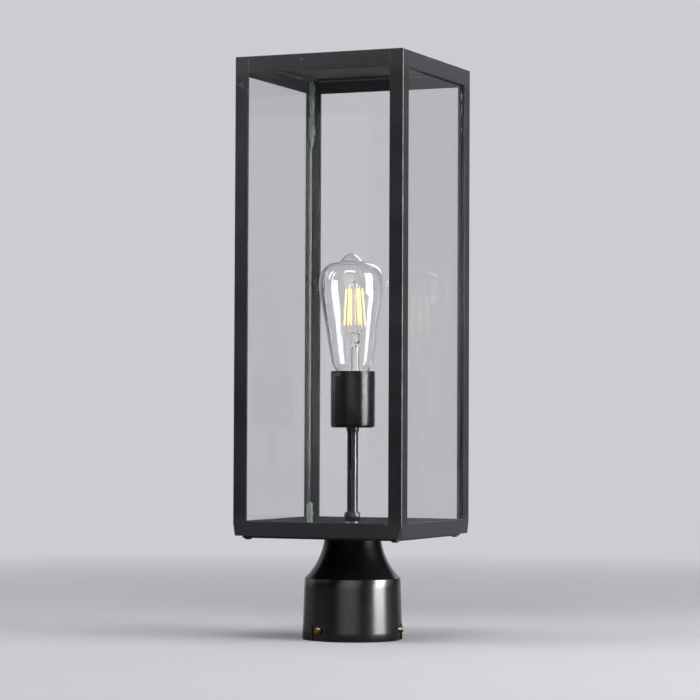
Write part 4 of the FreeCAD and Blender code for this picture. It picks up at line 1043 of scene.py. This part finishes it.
def sealant_beads():
    foot = lowest("glass_pane_front").z
    head = lowest("roof_plate").z
    dabs = []
    for number, signs in enumerate(CORNER_SIGNS):
        smear = SMEAR if signs[1] > 0 else 1.5 * MM
        dabs.append(sealant_bead(f"high_{number}", signs, head - 64 * MM, head, smear))
        dabs.append(sealant_bead(f"low_{number}", signs, foot, foot + 24 * MM, smear))
    piece = joined("sealant_beads", dabs)
    fitted(piece, "cage", "sealant", "glass_sealant")


# ---------------------------------------------------------------------------
# Studio.

def softbox(name, turn_deg, rise_deg, distance, width, height, power, aim=0.26):
    """A rectangular lamp, placed by its turn from the camera's side and its rise."""
    target = Vector((0, 0, aim))
    place = target + distance * level_way(turn_deg, rise_deg)
    lamp = bpy.data.lights.new(name, "AREA")
    lamp.shape = "RECTANGLE"
    lamp.size = width
    lamp.size_y = height
    lamp.energy = power
    holder = bpy.data.objects.new(name, lamp)
    holder.location = place
    holder.rotation_euler = (target - place).to_track_quat("-Z", "Y").to_euler()
    bpy.context.scene.collection.objects.link(holder)


BACKDROP = (0.62, 0.605, 0.645)
FLOOR_SEEN = (0.25, 0.246, 0.26)
FLOOR_LIT = (0.05, 0.049, 0.052)
FLOOR_MIRRORED = 0.15           # its pale share in reflections away from the backdrop's side
FLOOR_PLAIN = 0.35              # how far out it starts to fade into the backdrop
FLOOR_FADED = 1.6               # and how far out it is gone


def level_way(turn_deg, rise_deg=0.0):
    """A way out from the lantern, by its turn from the camera's side and its rise."""
    turn = math.radians(turn_deg)
    rise = math.radians(rise_deg)
    level = -CAMERA_AHEAD * math.cos(turn) + CAMERA_RIGHT * math.sin(turn)
    return level * math.cos(rise) + Vector((0, 0, math.sin(rise)))


# Soft patches of the room: turn and rise in degrees, where each is full and where it ends, its light.
PATCHES = (
    (-9, 5, 9, 30, (2.0, 1.98, 1.92)),
    (-122, 17, 10, 26, (0.80, 0.79, 0.82)),
    (98, 12, 5, 16, (0.80, 0.78, 0.75)),
    (0, 88, 20, 55, (0.40, 0.40, 0.41)),
)
ROOM_DARK = (0.012, 0.012, 0.013)
# The side of the room where the backdrop stands, for reflections: turn, rise, full, end.
BACKDROP_SIDE = (174, 4, 16, 51)


def room_patch(tree, towards, turn, rise, full, end):
    """1 near the middle of a patch of the room; towards is the spot or the way looked at."""
    way = vector_of(tree, "NORMALIZE", towards)
    near = number_of(tree, "DOT_PRODUCT", way, level_way(turn, rise))
    return between(tree, near, math.cos(math.radians(end)), math.cos(math.radians(full)))


def backdrop_shown(tree, mirrored):
    """1 where a ray meets the pale backdrop or floor: straight, through glass, or by gloss.

    A ray that was reflected counts only by the share in mirrored.
    """
    path = add(tree, "ShaderNodeLightPath")
    passing = sum_of(tree, "MAXIMUM", path.outputs["Is Camera Ray"],
                     path.outputs["Is Transmission Ray"])
    straight = sum_of(tree, "LESS_THAN", path.outputs["Glossy Depth"], 0.5)
    direct = sum_of(tree, "MULTIPLY", passing, straight)
    bounced = sum_of(tree, "MAXIMUM", path.outputs["Is Glossy Ray"],
                     path.outputs["Is Transmission Ray"])
    return sum_of(tree, "MAXIMUM", direct, sum_of(tree, "MULTIPLY", bounced, mirrored))


def studio_world():
    """A pale backdrop to look at and through, and a dark room with soft patches round it."""
    world = bpy.data.worlds.new("studio")
    bpy.context.scene.world = world
    world.use_nodes = True
    tree = world.node_tree
    tree.nodes.clear()
    way = add(tree, "ShaderNodeTexCoord").outputs["Generated"]
    room = ROOM_DARK
    for turn, rise, full, end, light in PATCHES:
        room = blended(tree, room_patch(tree, way, turn, rise, full, end), room, light)
    behind = room_patch(tree, way, *BACKDROP_SIDE)
    seen = blended(tree, backdrop_shown(tree, behind), room, BACKDROP)
    back = add(tree, "ShaderNodeBackground", {"Color": seen, "Strength": 1.0})
    out = tree.nodes.new("ShaderNodeOutputWorld")
    tree.links.new(back.outputs[0], out.inputs["Surface"])


def studio_floor():
    """A pale floor that keeps the shadow near the lantern and fades into the backdrop."""
    reach = 9.0
    floor = new_piece("floor", [(-reach, -reach, 0), (reach, -reach, 0), (reach, reach, 0),
                                (-reach, reach, 0)], [(0, 1, 2, 3)])
    finish, tree, shader = new_finish("floor_cloth")
    output = next(item for item in tree.nodes if item.type == "OUTPUT_MATERIAL")
    skin = placed(tree, SPRAYED_SKIN, pebble_scale=700.0, mottle_scale=5.0)
    pale = blended(tree, skin["Mottle"], FLOOR_SEEN, tuple(1.06 * part for part in FLOOR_SEEN))
    behind = room_patch(tree, own_place(tree), *BACKDROP_SIDE)
    looking = backdrop_shown(tree, sum_of(tree, "MAXIMUM", behind, FLOOR_MIRRORED))
    tree.links.new(blended(tree, looking, FLOOR_LIT, pale), shader.inputs["Base Color"])
    shader.inputs["Roughness"].default_value = 0.9
    shader.inputs["Specular IOR Level"].default_value = 0.1
    bumped(tree, shader, skin["Height"], 0.3, 0.1 * MM)
    far = between(tree, number_of(tree, "LENGTH", own_place(tree)), FLOOR_PLAIN, FLOOR_FADED)
    fade = sum_of(tree, "MULTIPLY", far, looking)
    glow = add(tree, "ShaderNodeEmission", {"Color": (*BACKDROP, 1), "Strength": 1.0})
    mixed = add(tree, "ShaderNodeMixShader", {0: fade, 1: shader.outputs[0], 2: glow.outputs[0]})
    tree.links.new(mixed.outputs[0], output.inputs["Surface"])
    floor.data.materials.append(finish)


def studio_camera():
    """The camera, at the photograph's angle."""
    distance = 2.385
    aim_height = 0.1884
    aim_right = -0.0032
    pitch = math.radians(1.657)
    roll = math.radians(0.2445)
    up = Vector((0, 0, 1))
    ahead = CAMERA_AHEAD * math.cos(pitch) + up * math.sin(pitch)
    top = up * math.cos(pitch) - CAMERA_AHEAD * math.sin(pitch)
    right = CAMERA_RIGHT * math.cos(roll) + top * math.sin(roll)
    top = top * math.cos(roll) - CAMERA_RIGHT * math.sin(roll)
    turn = Matrix((right, top, -ahead)).transposed().to_4x4()
    place = -distance * CAMERA_AHEAD + aim_height * up + aim_right * CAMERA_RIGHT
    lens = bpy.data.cameras.new("camera")
    lens.sensor_width = 36.0
    lens.lens = 137.29
    lens.clip_end = 50
    camera = bpy.data.objects.new("camera", lens)
    camera.matrix_world = Matrix.Translation(place) @ turn
    bpy.context.scene.collection.objects.link(camera)
    bpy.context.scene.camera = camera


# Each lamp's turn and rise in degrees, its distance, width and height, and its watts.
LAMPS = (
    ("right_softbox", 66, 13, 1.6, 0.85, 1.3, 84),
    ("left_softbox", -80, 26, 1.6, 0.6, 0.9, 28),
    ("overhead", -8, 52, 1.6, 1.0, 0.35, 20),
    ("rear_right", 158, 30, 1.7, 0.5, 0.9, 3),
)


def studio_lamps():
    for lamp in LAMPS:
        softbox(*lamp)


# ---------------------------------------------------------------------------

SOFT_EDGES = {"cage_paint": 0.14 * MM, "pane_glass": 0.25 * MM, "fitter_paint": 0.3 * MM}


def soften(piece, width):
    """Breaks the piece's sharp edges by a small round."""
    weld = piece.modifiers.new("weld", "WELD")
    weld.merge_threshold = 0.005 * MM
    edge = piece.modifiers.new("edge", "BEVEL")
    edge.width = width
    edge.segments = 2
    edge.limit_method = "ANGLE"
    edge.angle_limit = math.radians(40)
    edge.harden_normals = True


def dress_frame():
    """Gives each of the frame's own pieces the finish of its slot, and soft edges."""
    for row in frame["record"]["subparts"]:
        piece = nodes[row["node"]]
        slot = row["material_slot"]
        piece.data.materials.clear()
        piece.data.materials.append(FINISHES[slot])
        if slot in SOFT_EDGES:
            soften(piece, SOFT_EDGES[slot])


dress_frame()
glass_bulb()
glass_mount()
filament_sticks()
filament_wires()
threaded_cap()
rolled_cup()
lumpy_coupling()
for screw_side in ("right", "rear", "front"):
    slotted_set_screw(screw_side)
for screw_corner in CORNERS:
    cross_head_screw(screw_corner)
sealant_beads()
studio_floor()
studio_world()
studio_lamps()
studio_camera()
bpy.context.scene.view_settings.view_transform = "Standard"
